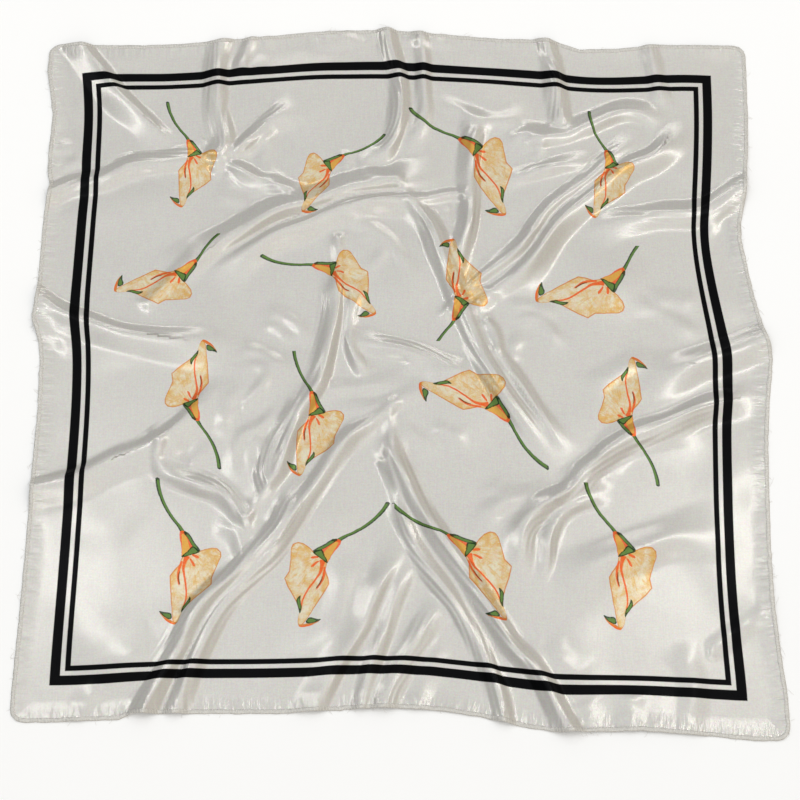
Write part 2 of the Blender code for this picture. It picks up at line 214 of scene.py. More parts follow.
# The small creases between and on the folds, in the same columns.
CREASES = (
    Fold(10, 10, 1.8, 0.3, 0.4, ((-342, 244), (-320, 261), (-273, 268), (-250, 266))),
    Fold(10, 10, 1.4, 0.4, 0.4, ((-322, 250), (-310, 258), (-285, 255))),
    Fold(13, 13, 1.6, 0.3, 0.4, ((-222, 255), (-189, 236), (-151, 214))),
    Fold(13, 13, 1.2, 0.3, 0.4, ((-234, 236), (-196, 218), (-161, 208))),
    Fold(13, 12, 1.7, 0.3, 0.3, ((-174, 339), (-168, 302), (-170, 275), (-155, 250), (-125, 236))),
    Fold(16, 16, 1.8, 0, 0.5, ((-461, 241), (-427, 261), (-396, 280), (-361, 291))),
    Fold(16, 16, 1.5, 0, 0.5, ((-457, 291), (-422, 291), (-387, 305))),
    Fold(12, 12, 1.8, 0.3, 0.3, ((-15, 288), (-40, 277), (-43, 263), (-22, 252), (10, 247))),
    Fold(10, 10, 1.5, 0.3, 0.4, ((-68, 289), (-70, 269), (-57, 252))),
    Fold(13, 13, 1.7, 0.3, 0.3, ((30, 356), (61, 353), (88, 339), (126, 331), (172, 336))),
    Fold(10, 10, 1.5, 0.3, 0.3, (
        (123, 289), (141, 305), (164, 311), (177, 300), (169, 280), (148, 280))),
    Fold(8, 8, 1.1, 0.3, 0.3, ((158, 294), (166, 303), (168, 289))),
    Fold(12, 12, 1.5, 0.3, 0.4, ((50, 214), (57, 192), (67, 168))),
    Fold(12, 12, 1.9, 0.3, 0.4, ((-67, 203), (-37, 186), (-10, 162), (10, 130), (24, 98))),
    Fold(10, 10, 1.5, 0.3, 0.4, ((-54, 178), (-30, 168), (-20, 149), (-34, 130), (-54, 119))),
    Fold(12, 12, 1.8, 0.3, 0.4, ((-87, 200), (-59, 192), (-25, 173), (-2, 146))),
    Fold(12, 12, 1.6, 0.3, 0.4, ((425, 222), (402, 206), (381, 181), (369, 154))),
    Fold(13, 13, 1.8, 0.3, 0.4, ((392, 203), (415, 173), (417, 127))),
    Fold(16, 16, 1.2, 0.3, 0.4, ((293, 87), (337, 84), (375, 77))),
    Fold(12, 12, 1.9, 0.3, 0.3, ((-168, 71), (-136, 61), (-119, 42), (-123, 19))),
    Fold(10, 10, 1.4, 0.3, 0.4, ((-170, 58), (-146, 45), (-131, 22))),
    Fold(12, 12, 1.8, 0.3, 0.4, ((-201, 22), (-174, 19), (-154, 6), (-132, -20))),
    Fold(10, 10, 1.6, 0.3, 0.4, (
        (-185, -17), (-181, 1), (-164, -2), (-163, -22), (-184, -48), (-205, -76))),
    Fold(12, 12, 1.6, 0.3, 0.4, ((-216, -101), (-210, -68), (-199, -40), (-180, -20))),
    Fold(10, 12, 1.9, 0.3, 0.4, (
        (-191, -158), (-200, -123), (-190, -91), (-167, -76), (-139, -50), (-115, -27))),
    Fold(9, 9, 1.5, 0.3, 0.3, (
        (-175, -151), (-181, -116), (-172, -93), (-167, -113), (-170, -141), (-158, -165))),
    Fold(12, 12, 1.5, 0.3, 0.4, (
        (-279, -88), (-270, -113), (-249, -127), (-237, -108), (-231, -83))),
    Fold(12, 12, 1.8, 0.3, 0.4, ((-220, -197), (-199, -207), (-187, -231), (-188, -262))),
    Fold(10, 10, 1.4, 0.3, 0.3, ((-205, -226), (-201, -207), (-189, -217), (-188, -248))),
    Fold(12, 12, 1.9, 0.3, 0.4, ((-110, -45), (-82, -29), (-38, -25), (14, -17))),
    Fold(13, 13, 1.8, 0.3, 0.4, ((-77, -58), (-29, -50), (12, -41), (48, -27))),
    Fold(8, 8, 1.1, 0.3, 0.3, ((-89, -37), (-79, -31), (-72, -35))),
    Fold(13, 13, 1.9, 0.3, 0.4, ((-2, 6), (36, -7), (75, -20))),
    Fold(12, 12, 1.6, 0.3, 0.4, ((-5, -55), (5, -83), (29, -103), (33, -126))),
    Fold(13, 13, 1.4, 0.3, 0.4, ((33, -73), (57, -88), (83, -91))),
    Fold(13, 13, 1.4, 0.4, 0.4, ((102, -141), (120, -160), (141, -160))),
    Fold(16, 16, 2.3, 0.3, 0.4, ((100, -217), (106, -185), (127, -169), (162, -164), (196, -153))),
    Fold(12, 12, 1.9, 0.3, 0.4, ((141, 48), (151, 63), (175, 58), (189, 35), (193, 11))),
    Fold(10, 10, 1.6, 0.3, 0.4, ((135, 1), (138, 27), (153, 43))),
    Fold(12, 12, 1.6, 0.3, 0.4, ((124, 71), (149, 79), (173, 74), (192, 53))),
    Fold(16, 16, 2, 0.4, 0.4, ((209, -38), (248, -17), (282, 3), (309, 19))),
    Fold(13, 16, 2, 0.3, 0.4, ((236, -136), (271, -108), (312, -91), (362, -78))),
    Fold(12, 12, 1.8, 0.3, 0.4, ((232, -131), (240, -103), (262, -81), (298, -68))),
    Fold(16, 16, 2, 0.3, 0, ((138, -336), (160, -362), (171, -394), (181, -447))),
    Fold(16, 16, 1.8, 0.3, 0.4, ((168, -336), (188, -364), (219, -387))),
    Fold(18, 18, 1.9, 0.3, 0, ((317, -336), (331, -378), (332, -446))),
    Fold(23, 23, 1.6, 0.4, 0.4, ((-346, -394), (-316, -359), (-278, -338))),
    Fold(16, 18, 1.8, 0.3, 0, ((-335, -382), (-359, -410), (-369, -440))),
    Fold(18, 18, 1.6, 0.3, 0, ((262, -394), (263, -419), (260, -446))),
    Fold(18, 18, 1.6, 0.3, 0, ((209, -405), (215, -428), (219, -451))),
    Fold(16, 16, 1.8, 0.3, 0, ((55, -336), (32, -369), (16, -435))),
    Fold(18, 21, 2, 0.3, 0.4, ((-56, -231), (-67, -277), (-80, -327), (-100, -378))),
    Fold(16, 16, 2, 0.4, 0.4, ((-121, -88), (-140, -126), (-155, -168), (-162, -197))),
    Fold(16, 16, 2.3, 0, 0.4, ((-467, 63), (-442, 53), (-412, 37), (-379, 19))),
    Fold(13, 13, 1.5, 0, 0.4, ((-174, 454), (-176, 422), (-186, 385))),
    Fold(13, 13, 1.8, 0, 0.4, ((-90, 457), (-62, 448), (-36, 431))),
    Fold(12, 12, 1.6, 0.3, 0.4, ((0, 454), (18, 446), (51, 443), (79, 434))),
    Fold(13, 13, 1.6, 0.3, 0.4, ((-128, 437), (-90, 440), (-51, 446))),
    Fold(13, 13, 1.6, 0.3, 0, ((427, -301), (406, -312), (389, -326))),
    Fold(13, 13, 1.2, 0.3, 0.4, ((268, 87), (312, 71), (352, 40), (377, 19))),
    # Where the folds run on towards the places that they meet at.
    Fold(16, 10, 3.4, 0.35, 0.12, (
        (238, 229), (200, 190), (167, 149), (134, 112), (102, 83), (80, 62))),
    Fold(9, 10, 2.8, 0.35, 0.12, ((186, 204), (153, 166), (120, 131), (83, 97), (66, 82))),
    Fold(10, 12, 3, 0.35, 0.12, ((89, 231), (84, 190), (76, 152), (73, 112), (76, 92))),
    Fold(10, 11, 2.8, 0.12, 0.4, ((-12, 262), (-2, 244), (15, 217), (35, 187), (52, 149))),
    Fold(8, 12, 3, 0.12, 0.45, ((-72, 178), (-76, 152), (-77, 112), (-77, 69))),
    Fold(9, 12, 3, 0.4, 0.12, ((-117, -62), (-133, -100), (-153, -145), (-173, -184), (-184, -206))),
    Fold(14, 10, 2.8, 0.12, 0.4, ((-316, 72), (-293, 98), (-262, 128), (-229, 157))),
    Fold(12, 10, 3.2, 0.1, 0.4, ((2, -42), (-17, -54), (-36, -69), (-62, -94), (-87, -129))),
    Fold(10, 12, 3.2, 0.1, 0.4, ((-18, -52), (-14, -75), (-5, -115), (14, -157))),
    Fold(9, 10, 2.6, 0.1, 0.4, ((-20, -112), (-9, -144), (2, -184), (16, -224))),
    Fold(10, 12, 2.8, 0.1, 0.5, ((-238, 262), (-218, 275), (-193, 300), (-171, 327))),
    Fold(10, 10, 2.6, 0.1, 0.5, ((-244, 292), (-218, 276), (-190, 254), (-157, 240))),
    Fold(10, 10, 2.8, 0.4, 0.1, ((-10, 221), (35, 223), (70, 226), (88, 224))),
    Fold(10, 12, 2.8, 0.1, 0.45, ((178, -176), (188, -162), (208, -141), (237, -116))),
    Fold(9, 9, 2.4, 0.12, 0.4, ((-300, -78), (-285, -94), (-286, -119), (-269, -137))),
    Fold(8, 9, 2.4, 0.15, 0.3, ((44, 60), (66, 82), (96, 96), (122, 90), (136, 70))),
    Fold(8, 8, 2.2, 0.2, 0.3, ((96, 58), (114, 44), (118, 22), (104, 6))),
)

# The low swells of the cloth between its folds, as waves: their length, their direction
# in degrees, where the first one starts as a share of its length, and their height.
Wave = namedtuple("Wave", "length turn start height")
SWELLS = (
    Wave(230, 25, 0.10, 1.2), Wave(180, 80, 0.40, 1.0), Wave(150, 130, 0.70, 0.7),
    Wave(110, 160, 0.20, 0.45), Wave(92, 48, 0.55, 0.3), Wave(68, 105, 0.85, 0.15),
)
# How far the crests wander from their smooth ways, across and along.
WANDER_X = (Wave(127, 62, 0.2, 2.0), Wave(71, 115, 0.6, 0.7))
WANDER_Y = (Wave(119, 15, 0.7, 2.0), Wave(67, 170, 0.1, 0.7))

CREST_ROUNDNESS = 0.27  # of its flank's width
FOOT_ROUNDNESS = 0.12  # likewise
FOOT_END = 1.6  # where a flank has run out into the flat cloth, likewise
FLARE = 0.7  # how much wider a fold is where it dies away
UNEVEN = 0.14  # how much a crest's height rises and falls along it
MERGE = 2.2  # how softly folds that meet run into each other
RESTING = 0.6  # how softly a swell comes down to the floor
EDGE_START = 0.3  # where the cloth starts to be moved to its outline, of the way out to it
PLEAT = 8.5  # from one fine pleat to the next
PLEATED_WIDTH = 27.0  # a flank this wide has none
PLEATED_HEIGHT = 6.0  # a fold this high has them at their full depth
DEEPEST_PLEAT = 1.3  # how deep they get on higher folds, of that depth
PLEATED = 1.15  # how far from a crest its pleats reach, of its flank's width
PATH_STEP = 5.0
FIELD_STEP = 2.0
FIELD_REACH = 490.0
CORNER_ALONG = 440.0  # how far along a side its corners are
CORNER_CUT = 1 - math.sqrt(0.5)  # how far in the middle of a round corner is, of its radius


def ease(value):
    """0 below 0, 1 above 1, and smooth between them."""
    value = np.clip(value, 0, 1)
    return value * value * (3 - 2 * value)


def waves(x, y, table):
    total = np.zeros_like(x)
    for wave in table:
        turn = math.radians(wave.turn)
        along = (x * math.cos(turn) + y * math.sin(turn)) / wave.length
        total += wave.height * np.sin(2 * np.pi * (along + wave.start))
    return total


def smooth_path(points):
    """Points about PATH_STEP apart on a smooth curve through these."""
    knots = np.array(points, float)
    before = 2 * knots[:1] - knots[1:2]
    after = 2 * knots[-1:] - knots[-2:-1]
    knots = np.concatenate([before, knots, after])
    curve = []
    for a, b, c, d in zip(knots, knots[1:], knots[2:], knots[3:]):
        count = max(2, int(np.ceil(np.hypot(*(c - b)) / PATH_STEP)))
        t = np.arange(count)[:, None] / count
        bend = 2 * b + (c - a) * t + (2 * a - 5 * b + 4 * c - d) * t**2
        curve.append((bend + (3 * b - a - 3 * c + d) * t**3) / 2)
    return np.concatenate(curve + [knots[-2:-1]])


def beside(curve, x, y):
    """How far left of the curve each place is, and how far along it, from 0 to 1."""
    nearest = np.full(len(x), np.inf)
    across = np.zeros(len(x))
    along = np.zeros(len(x))
    last = len(curve) - 2
    for i, (start, end) in enumerate(zip(curve, curve[1:])):
        step = end - start
        gap_x = x - start[0]
        gap_y = y - start[1]
        share = (gap_x * step[0] + gap_y * step[1]) / (step @ step)
        # The first and the last stretch go on past the curve's ends.
        share = np.clip(share, -np.inf if i == 0 else 0, np.inf if i == last else 1)
        gap = np.hypot(gap_x - share * step[0], gap_y - share * step[1])
        side = np.sign(step[0] * gap_y - step[1] * gap_x)
        closer = gap < nearest
        nearest = np.where(closer, gap, nearest)
        across = np.where(closer, side * gap, across)
        along = np.where(closer, (i + share) / (last + 1), along)
    return across, along


def flank(place):
    """A fold's height from its crest, at 0, to its foot, at 1: straight, and round at both."""
    rounded = np.sqrt(place**2 + CREST_ROUNDNESS**2) - CREST_ROUNDNESS
    above = 1 - rounded / (math.sqrt(1 + CREST_ROUNDNESS**2) - CREST_ROUNDNESS)
    above = (above + np.sqrt(above**2 + FOOT_ROUNDNESS**2)) / 2
    return above * ease((FOOT_END - place) / (FOOT_END - 1))


def over_folds(folds, x, y):
    """For each fold, the places it reaches, how far they are across and along it, and how
    high it is there and how wide its flank."""
    for number, fold in enumerate(folds):
        curve = smooth_path(fold.crest)
        reach = FOOT_END * (1 + FLARE) * max(fold.left, fold.right)
        low = curve.min(0) - reach
        high = curve.max(0) + reach
        near = (x > low[0]) & (x < high[0]) & (y > low[1]) & (y < high[1])
        near = np.flatnonzero(near)
        across, along = beside(curve, x[near], y[near])
        share = np.ones_like(along)
        if fold.rise:
            share *= ease(along / fold.rise)
        if fold.fall:
            share *= ease((1 - along) / fold.fall)
        width = np.where(across > 0, fold.left, fold.right) * (1 + FLARE * (1 - share))
        uneven = 1 + UNEVEN * np.sin(2 * np.pi * (2.3 * along + 0.37 * number))
        yield near, across, along, fold.height * share * uneven, width


def heap(folds, x, y):
    """The height of these folds, each running softly into those that it meets."""
    total = np.zeros_like(x)
    for near, across, _, peak, width in over_folds(folds, x, y):
        total[near] += (peak * flank(np.abs(across) / width)) ** MERGE
    return total ** (1 / MERGE)


def pleats(x, y):
    """The fine pleats along the folds: how many ridges across a place is, and how deep they are."""
    ridges = np.zeros_like(x)
    first = np.zeros_like(x)
    second = np.zeros_like(x)
    folds = over_folds(FOLDS.values(), x, y)
    for number, (near, across, along, peak, width) in enumerate(folds):
        depth = np.minimum((peak / PLEATED_HEIGHT) ** 1.5, DEEPEST_PLEAT)
        depth = depth * np.exp(-((across / (PLEATED * width)) ** 2))
        depth *= ease((PLEATED_WIDTH - width) / 10)
        # They run unevenly: closer together here and there, and one deeper than the next.
        drift = 0.6 * np.sin(2 * np.pi * (1.3 * along + 0.37 * number))
        drift += 0.4 * np.sin(across / 9 + 1.7 * number) + 0.3 * np.sin(along * 9 + across / 14)
        ridge = across / PLEAT + drift
        depth *= 0.65 + 0.35 * np.sin(across / 5.3 + 7 * along + 2.1 * number)
        closer = depth > first[near]
        second[near] = np.where(closer, first[near], np.maximum(second[near], depth))
        ridges[near] = np.where(closer, ridge, ridges[near])
        first[near] = np.maximum(first[near], depth)
    # Between two folds, whose pleats don't match, there are none.
    return ridges, first * ease((first - second) / 0.25)


@functools.lru_cache(maxsize=1)
def height_field():
    """How high the cloth lies over a grid of laid places, row by row from the front."""
    line = np.arange(-FIELD_REACH, FIELD_REACH + FIELD_STEP, FIELD_STEP)
    x, y = (axis.ravel() for axis in np.meshgrid(line, line))
    across = x + waves(x, y, WANDER_X)
    away = y + waves(x, y, WANDER_Y)
    folds = heap(FOLDS.values(), across, away) + heap(CREASES, across, away)
    swell = waves(x, y, SWELLS)
    # Where a swell would dip, the cloth rests on the floor instead.
    swell = (np.sqrt(swell**2 + RESTING**2) + swell) / 2
    return (folds + swell).reshape(len(line), len(line))


def height_at(x, y):
    """The cloth's height over these laid places."""
    field = height_field()
    last = field.shape[0] - 1.001
    column = np.clip((x + FIELD_REACH) / FIELD_STEP, 0, last)
    row = np.clip((y + FIELD_REACH) / FIELD_STEP, 0, last)
    i = column.astype(int)
    j = row.astype(int)
    column = column - i
    row = row - j
    front = field[j, i] * (1 - column) + field[j, i + 1] * column
    back = field[j + 1, i] * (1 - column) + field[j + 1, i + 1] * column
    return front * (1 - row) + back * row


def outline(side, along):
    edge = sorted(EDGES[side])
    return np.interp(along, [place.along for place in edge], [place.out for place in edge])


def keep_to_outline(points, radius):
    """Puts the cloth's border on the outline and its round corners, free to slide along it."""
    for side, ends, line, axis, way in (
        ("left", ("front", "back"), points[:, 0], 0, -1),
        ("right", ("front", "back"), points[:, -1], 0, 1),
        ("front", ("left", "right"), points[0], 1, -1),
        ("back", ("left", "right"), points[-1], 1, 1),
    ):
        along = line[1:-1, 1 - axis]
        before, after = (outline(end, way * CORNER_ALONG) for end in ends)
        short = np.clip(radius - np.minimum(along + before, after - along), 0, radius)
        inset = radius - np.sqrt(radius**2 - short**2)
        line[1:-1, axis] = way * (outline(side, along) - inset)
        # Each end of the row is the middle of a corner's round.
        for end, out, turn in ((0, before, -1), (-1, after, 1)):
            line[end, axis] = way * (outline(side, turn * CORNER_ALONG) - CORNER_CUT * radius)
            line[end, 1 - axis] = turn * (out - CORNER_CUT * radius)


def spread_out(u, v, half, radius):
    """A first place for each sewn place, with the corners rounded and the sides on the outline."""
    corner = half - radius
    over_u = np.maximum(np.abs(u) - corner, 0)
    over_v = np.maximum(np.abs(v) - corner, 0)
    reach = np.maximum(np.hypot(over_u, over_v), 1e-9)
    pull = 1 - np.maximum(over_u, over_v) / reach
    x = (u - np.sign(u) * over_u * pull) * TAKE_UP
    y = (v - np.sign(v) * over_v * pull) * TAKE_UP
    flat = half * TAKE_UP

    def moved(out, side, along):
        """How far the places this far out towards a side are moved to its outline."""
        share = (out / half - EDGE_START) / (1 - EDGE_START)
        return ease(share) * (outline(side, along) - flat)

    shift_x = moved(u, "right", y) - moved(-u, "left", y)
    shift_y = moved(v, "back", x) - moved(-v, "front", x)
    return np.stack([x + shift_x, y + shift_y], axis=-1)


def thread_pull(points, length):
    """How each point is drawn by the threads and the bias of the cells that meet at it."""
    pull = np.zeros_like(points)
    every = slice(None)
    first = slice(0, -1)
    second = slice(1, None)
    bias = length * math.sqrt(2)
    for start, end, rest, stiffness in (
        ((every, first), (every, second), length, 1.0),
        ((first, every), (second, every), length, 1.0),
        ((first, first), (second, second), bias, 0.4),
        ((first, second), (second, first), bias, 0.4),
    ):
        gap = points[end] - points[start]
        stretched = np.linalg.norm(gap, axis=-1, keepdims=True)
        move = gap * (stiffness * (1 - rest / stretched))
        pull[start] += move
        pull[end] -= move
    return pull


def slide(places, length, radius, steps=160, give=0.2, swing=0.8):
    """Slides the cloth over its folds until its threads are neither stretched nor slack."""
    points = np.dstack([places, height_at(places[..., 0], places[..., 1])])
    last = points
    for step in range(steps):
        moved = points + give * thread_pull(points, length)
        keep_to_outline(moved, radius)
        ahead = moved + min(swing, step / (step + 10)) * (moved - last)
        keep_to_outline(ahead, radius)
        for state in (moved, ahead):
            state[..., 2] = height_at(state[..., 0], state[..., 1])
        last = moved
        points = ahead
    return last


def finer(rows):
    """The rows with one put between each two, on smooth curves through them."""
    between = (rows[:-1] + rows[1:]) / 2
    between[1:-1] = (9 * (rows[1:-2] + rows[2:-1]) - (rows[:-3] + rows[3:])) / 16
    full = np.empty((2 * len(rows) - 1, *rows.shape[1:]))
    full[::2] = rows
    full[1::2] = between
    return full


def halve_cells(grid):
    """The same cloth with twice as many cells each way."""
    for _ in range(2):
        grid = np.swapaxes(finer(grid), 0, 1)
    return grid


@functools.lru_cache(maxsize=2)
def laid_cloth(side, radius, cells):
    """The laid place and height of each corner of the cells of the whole sewn square."""
    halvings = 2
    coarse = cells >> halvings
    half = side / 2
    line = np.linspace(-half, half, coarse + 1)
    places = spread_out(*np.meshgrid(line, line), half, radius)
    for level in range(halvings + 1):
        cloth = slide(places, side / (coarse << level), radius)
        if level < halvings:
            places = halve_cells(cloth[..., :2])
    return cloth


# --- What a user may change ---------------------------------------------------------------


def linear(hex_colour):
    """A six-figure sRGB hex colour as linear red, green and blue."""
    shares = [int(hex_colour[i : i + 2], 16) / 255 for i in (1, 3, 5)]
    return tuple(
        share / 12.92 if share <= 0.04045 else ((share + 0.055) / 1.055) ** 2.4
        for share in shares
    )


def length_property(name, description, default_mm):
    return bpy.props.FloatProperty(
        name=name, description=description, default=default_mm * MM, unit="LENGTH", precision=4
    )


def colour_property(name, description, hex_colour):
    return bpy.props.FloatVectorProperty(
        name=name, description=description, default=linear(hex_colour), subtype="COLOR", min=0, max=1
    )


class ScarfSizes(bpy.types.PropertyGroup):
    """The sizes of the sewn square."""

    side: length_property("Side", "Side of the square, hems included", 900)
    corner: length_property("Corner radius", "Radius of each rounded corner", 16)
    hem_width: length_property("Hem width", "Width of the rolled hem", 5)
    hem_height: length_property("Hem height", "Thickness of the rolled hem", 1.4)
    margin: length_property("Margin", "From the cloth's edge to the outer stripe", 43.6)
    outer_stripe: length_property("Outer stripe", "Width of the outer stripe", 11.7)
    stripe_gap: length_property("Stripe gap", "Between the two stripes", 5.2)
    inner_stripe: length_property("Inner stripe", "Width of the inner stripe", 6.5)
    stitch: length_property("Stitch", "From one overstitch of the hem to the next", 3.6)
    cells: bpy.props.IntProperty(
        name="Cells", description="Cells of the cloth's mesh along a side", default=312, min=60
    )


class ScarfColours(bpy.types.PropertyGroup):
    """The colours of the cloth, its thread and its print."""

    ivory: colour_property("Ivory", "The satin itself", "#C3C0BA")
    thread: colour_property("Thread", "The hem's overstitching", "#D9D5CC")
    ink: colour_property("Ink", "The border stripes", "#050506")
    cream: colour_property("Cream", "The lilies' petals where they are palest", "#D0C7AE")
    ochre: colour_property("Ochre", "The washes in the petals", "#C99C4B")
    amber: colour_property("Amber", "The petals' outlines", "#C07532")
    vermilion: colour_property("Vermilion", "The lilies' throats", "#D65C2A")
    umber: colour_property("Umber", "The darkest stroke in a throat", "#7A3B1F")
    leaf: colour_property("Leaf", "Stems and cups", "#5C7A3E")
    deep_leaf: colour_property("Deep leaf", "The shaded side of stems and cups", "#24381F")


# --- Materials ----------------------------------------------------------------------------


def add(tree, kind, inputs=(), **settings):
    """Adds a shader node with these settings. An input is a value, a socket, or a node, which
    stands for its first output."""
    node = tree.nodes.new("ShaderNode" + kind)
    for name, value in settings.items():
        setattr(node, name, value)
    for key, value in dict(inputs).items():
        if isinstance(value, bpy.types.Node):
            value = value.outputs[0]
        if isinstance(value, bpy.types.NodeSocket):
            tree.links.new(value, node.inputs[key])
        else:
            node.inputs[key].default_value = value
    return node


POLYESTER_IOR = 1.58

# The sizes of the materials' patterns, in millimetres.
SLUB = (20, 4 / 3)
WARP = (5 / 3, 25)
GLITTER = 2
CRUMPLE = 500 / 11
PUCKER = (50 / 7, 100 / 3)
PUCKERED = (26, 4)  # where the puckers start and are deepest, in from the cloth's edge
WAVER = 100 / 9  # of the brush, along its way
WAVERING = 1.4  # and from side to side, at the very most
BLOTCH = 50 / 3  # a pool of wash
WET_PATCH = 50 / 7
BRISTLE = 20 / 9  # where the brush leaves less paint
HEM_CREASE = 50 / 21
THREAD_TWIST = 2 / 3
ROLLER = 1000 / 3


def per_mm(sizes):
    return [1 / size for size in sizes]


def new_material(name):
    """A new material, its node tree and its shader."""
    material = bpy.data.materials.new(name)
    material.use_nodes = True
    return material, material.node_tree, material.node_tree.nodes["Principled BSDF"]


def set_finish(shader, finish):
    for name, value in finish.items():
        shader.inputs[name].default_value = value


# The lily, in its own frame: p runs from its cup towards its tip and q to its broad side.
LILY_REACH = 100.0
LILY_MIDDLE = 30  # how far its middle is from its cup
PETAL_CENTRE = (36, 5)
PETAL_REACH = 64.0
PETAL = (
    (0, 9), (-4, 16), (-7, 24), (-7, 31), (-3, 36), (3, 37), (16, 34), (30, 31), (41, 34),
    (50, 27), (60, 17), (68, 9), (77, 4), (86, 3), (92, 1), (94, -2), (90, -5), (80, -8),
    (64, -12), (48, -16), (34, -19), (26, -15), (18, -10), (10, -9), (3, -6),
)
# A brush stroke: its colour, whether it runs along q instead of p, and its way as
# (along, aside, half width). Where a half width is 0 there is no paint.
Stroke = namedtuple("Stroke", "colour turned way")
UNDER_PETAL = (
    Stroke("deep_leaf", False, (
        (-87, -57, 0), (-85, -56.5, 2.7), (-75, -53.5, 2.7), (-62, -47.5, 2.5), (-49, -39, 2.5),
        (-37, -28.5, 2.6), (-28, -19, 2.9), (-21, -13, 3.2), (-17, -10, 0))),
    Stroke("leaf", False, (
        (-85, -56, 0), (-83, -55.4, 1.5), (-75, -52.8, 1.5), (-62, -46.8, 1.4), (-49, -38.3, 1.4),
        (-37, -27.8, 1.5), (-28, -18.3, 1.7), (-22, -13.2, 1.8), (-19, -11.2, 0))),
    Stroke("vermilion", False, (
        (-24, -14, 0), (-23, -13.6, 3.8), (-18, -11.6, 5.4), (-12, -9, 6.4), (-5, -5.5, 7.1),
        (3, -4, 7.0), (8, -6, 4.0), (10, -8, 0))),
    Stroke("ochre", False, (
        (-21, -13.4, 0), (-19, -12.6, 2.0), (-12, -9.8, 3.6), (-4, -6.8, 4.6), (3, -5.6, 4.8),
        (8, -7, 2.4), (9, -8, 0))),
    Stroke("deep_leaf", False, (
        (-25, -12, 0), (-22, -10, 3.0), (-17, -5.6, 3.2), (-10, 0.4, 3.1), (-4, 6.2, 3.2),
        (0, 10, 2.4), (2, 11.4, 0))),
    Stroke("leaf", False, (
        (-22, -10.5, 0), (-18, -7.0, 1.9), (-11, -1.0, 1.8), (-5, 4.8, 1.9), (-1, 8.6, 0))),
)
ON_PETAL = (
    Stroke("vermilion", False, (
        (6, -3, 0), (8, -3, 3.8), (13, -4.2, 2.3), (22, -4.8, 1.6), (33, -1.6, 1.2), (46, 2.4, 1.1),
        (58, 4.8, 1.0), (70, 4, 0.8), (80, 2.4, 0))),
    Stroke("vermilion", False, (
        (12, -7, 0), (15, -8, 1.3), (22, -9.4, 1.5), (32, -9.6, 1.3), (42, -7, 0.9), (52, -3.4, 0))),
    Stroke("umber", False, (
        (24, -8, 0), (27, -8.4, 0.5), (34, -8.4, 0.9), (42, -6, 0.8), (49, -3.6, 0))),
    Stroke("vermilion", True, ((1, 4, 0), (3, 4.6, 1.3), (7, 6, 1.7), (10.5, 7.2, 1.7), (12.5, 8, 0))),
    Stroke("vermilion", False, ((8, 0, 0), (10, 1.6, 1.3), (14, 4.6, 1.7), (18, 7, 1.6), (20, 8.4, 0))),
    Stroke("deep_leaf", False, (
        (-7, 1, 0), (-4, 2.4, 3.2), (0, 3.8, 7.2), (3, 0.2, 6.0), (6, -4.4, 3.9), (9, -8.4, 1.6),
        (10, -10, 0))),
    Stroke("leaf", False, (
        (-5, 2, 0), (-3, 2.4, 1.8), (0, 3.2, 4.8), (3, -0.6, 3.8), (6, -4.8, 2.0), (8, -7.6, 0))),
    Stroke("deep_leaf", False, (
        (54, 8, 0), (58, 9.4, 1.0), (64, 9, 2.6), (70, 5.8, 2.6), (77, 3.4, 1.0), (83, 3, 0))),
    Stroke("leaf", False, ((59, 9.8, 0), (62, 9.6, 1.0), (67, 7.4, 1.7), (72, 5, 1.2), (75, 4, 0))),
    Stroke("amber", True, (
        (-24, 79, 0), (-21, 82, 0.9), (-14, 88, 1.8), (-7, 91.4, 2.2), (-1, 93, 1.5), (2, 92, 0))),
    Stroke("vermilion", True, (
        (-19, 84.6, 0), (-15, 88, 0.6), (-8, 92, 0.9), (-2, 93.8, 0.7), (0, 93.6, 0))),
    Stroke("deep_leaf", True, (
        (-25, 78, 0), (-22, 80, 1.0), (-17, 82.6, 2.6), (-11, 84, 4.2), (-8, 85, 3.6), (-6, 87, 0))),
    Stroke("leaf", True, (
        (-19, 82, 0), (-17, 82.8, 1.0), (-12, 84, 2.6), (-9, 84.6, 2.4), (-7.4, 85.4, 0))),
)
STRIPES_LEFT = 1.7  # how far left of the cloth's middle the stripes are

# Each lily: the sewn place of its cup, the way to its tip in degrees, its size, and
# whether it is drawn mirrored.
Lily = namedtuple("Lily", "u v turn size mirrored")
LILIES = (
    Lily(-265, 288, -99, 0.82, False), Lily(-92, 267, -117, 0.8, True), Lily(101, 289, -66, 1, False),
    Lily(276, 274, -104, 0.83, False), Lily(-273, 118, 194, 0.9, False), Lily(-87, 123, -45, 0.88, False),
    Lily(79, 79, 96, 0.93, True), Lily(269, 108, 195, 1.04, False), Lily(-260, -55, 81, 0.9, False),
    Lily(-102, -65, -103, 0.92, False), Lily(114, -54, 163, 1, True), Lily(274, -72, 82, 0.9, False),
    Lily(-252, -244, -98, 1, False), Lily(-94, -252, -106, 1, True), Lily(82, -238, -62, 1.04, False),
    Lily(272, -236, -95, 1, False),
)


def polar_table(points, centre, reach):
    """The outline's radius, as a share of reach, for angles from 0 to 1 round the centre."""
    table = []
    # Four places along each straight side keep it straight.
    sides = zip(points, points[1:] + points[:1])
    ways = [[a + (b - a) * i / 4 for a, b in zip(*ends)] for ends in sides for i in range(4)]
    for p, q in ways:
        angle = math.atan2(q - centre[1], p - centre[0]) / (2 * math.pi) + 0.5
        table.append((angle, math.hypot(q - centre[1], p - centre[0]) / reach))
    table.sort()
    # The table runs past both ends, where it joins itself.
    wrap = [(table[-1][0] - 1, table[-1][1]), (table[0][0] + 1, table[0][1])]
    share = -wrap[0][0] / (table[0][0] - wrap[0][0])
    joint = wrap[0][1] + share * (table[0][1] - wrap[0][1])
    return [(0, joint), *table, (1, joint)]


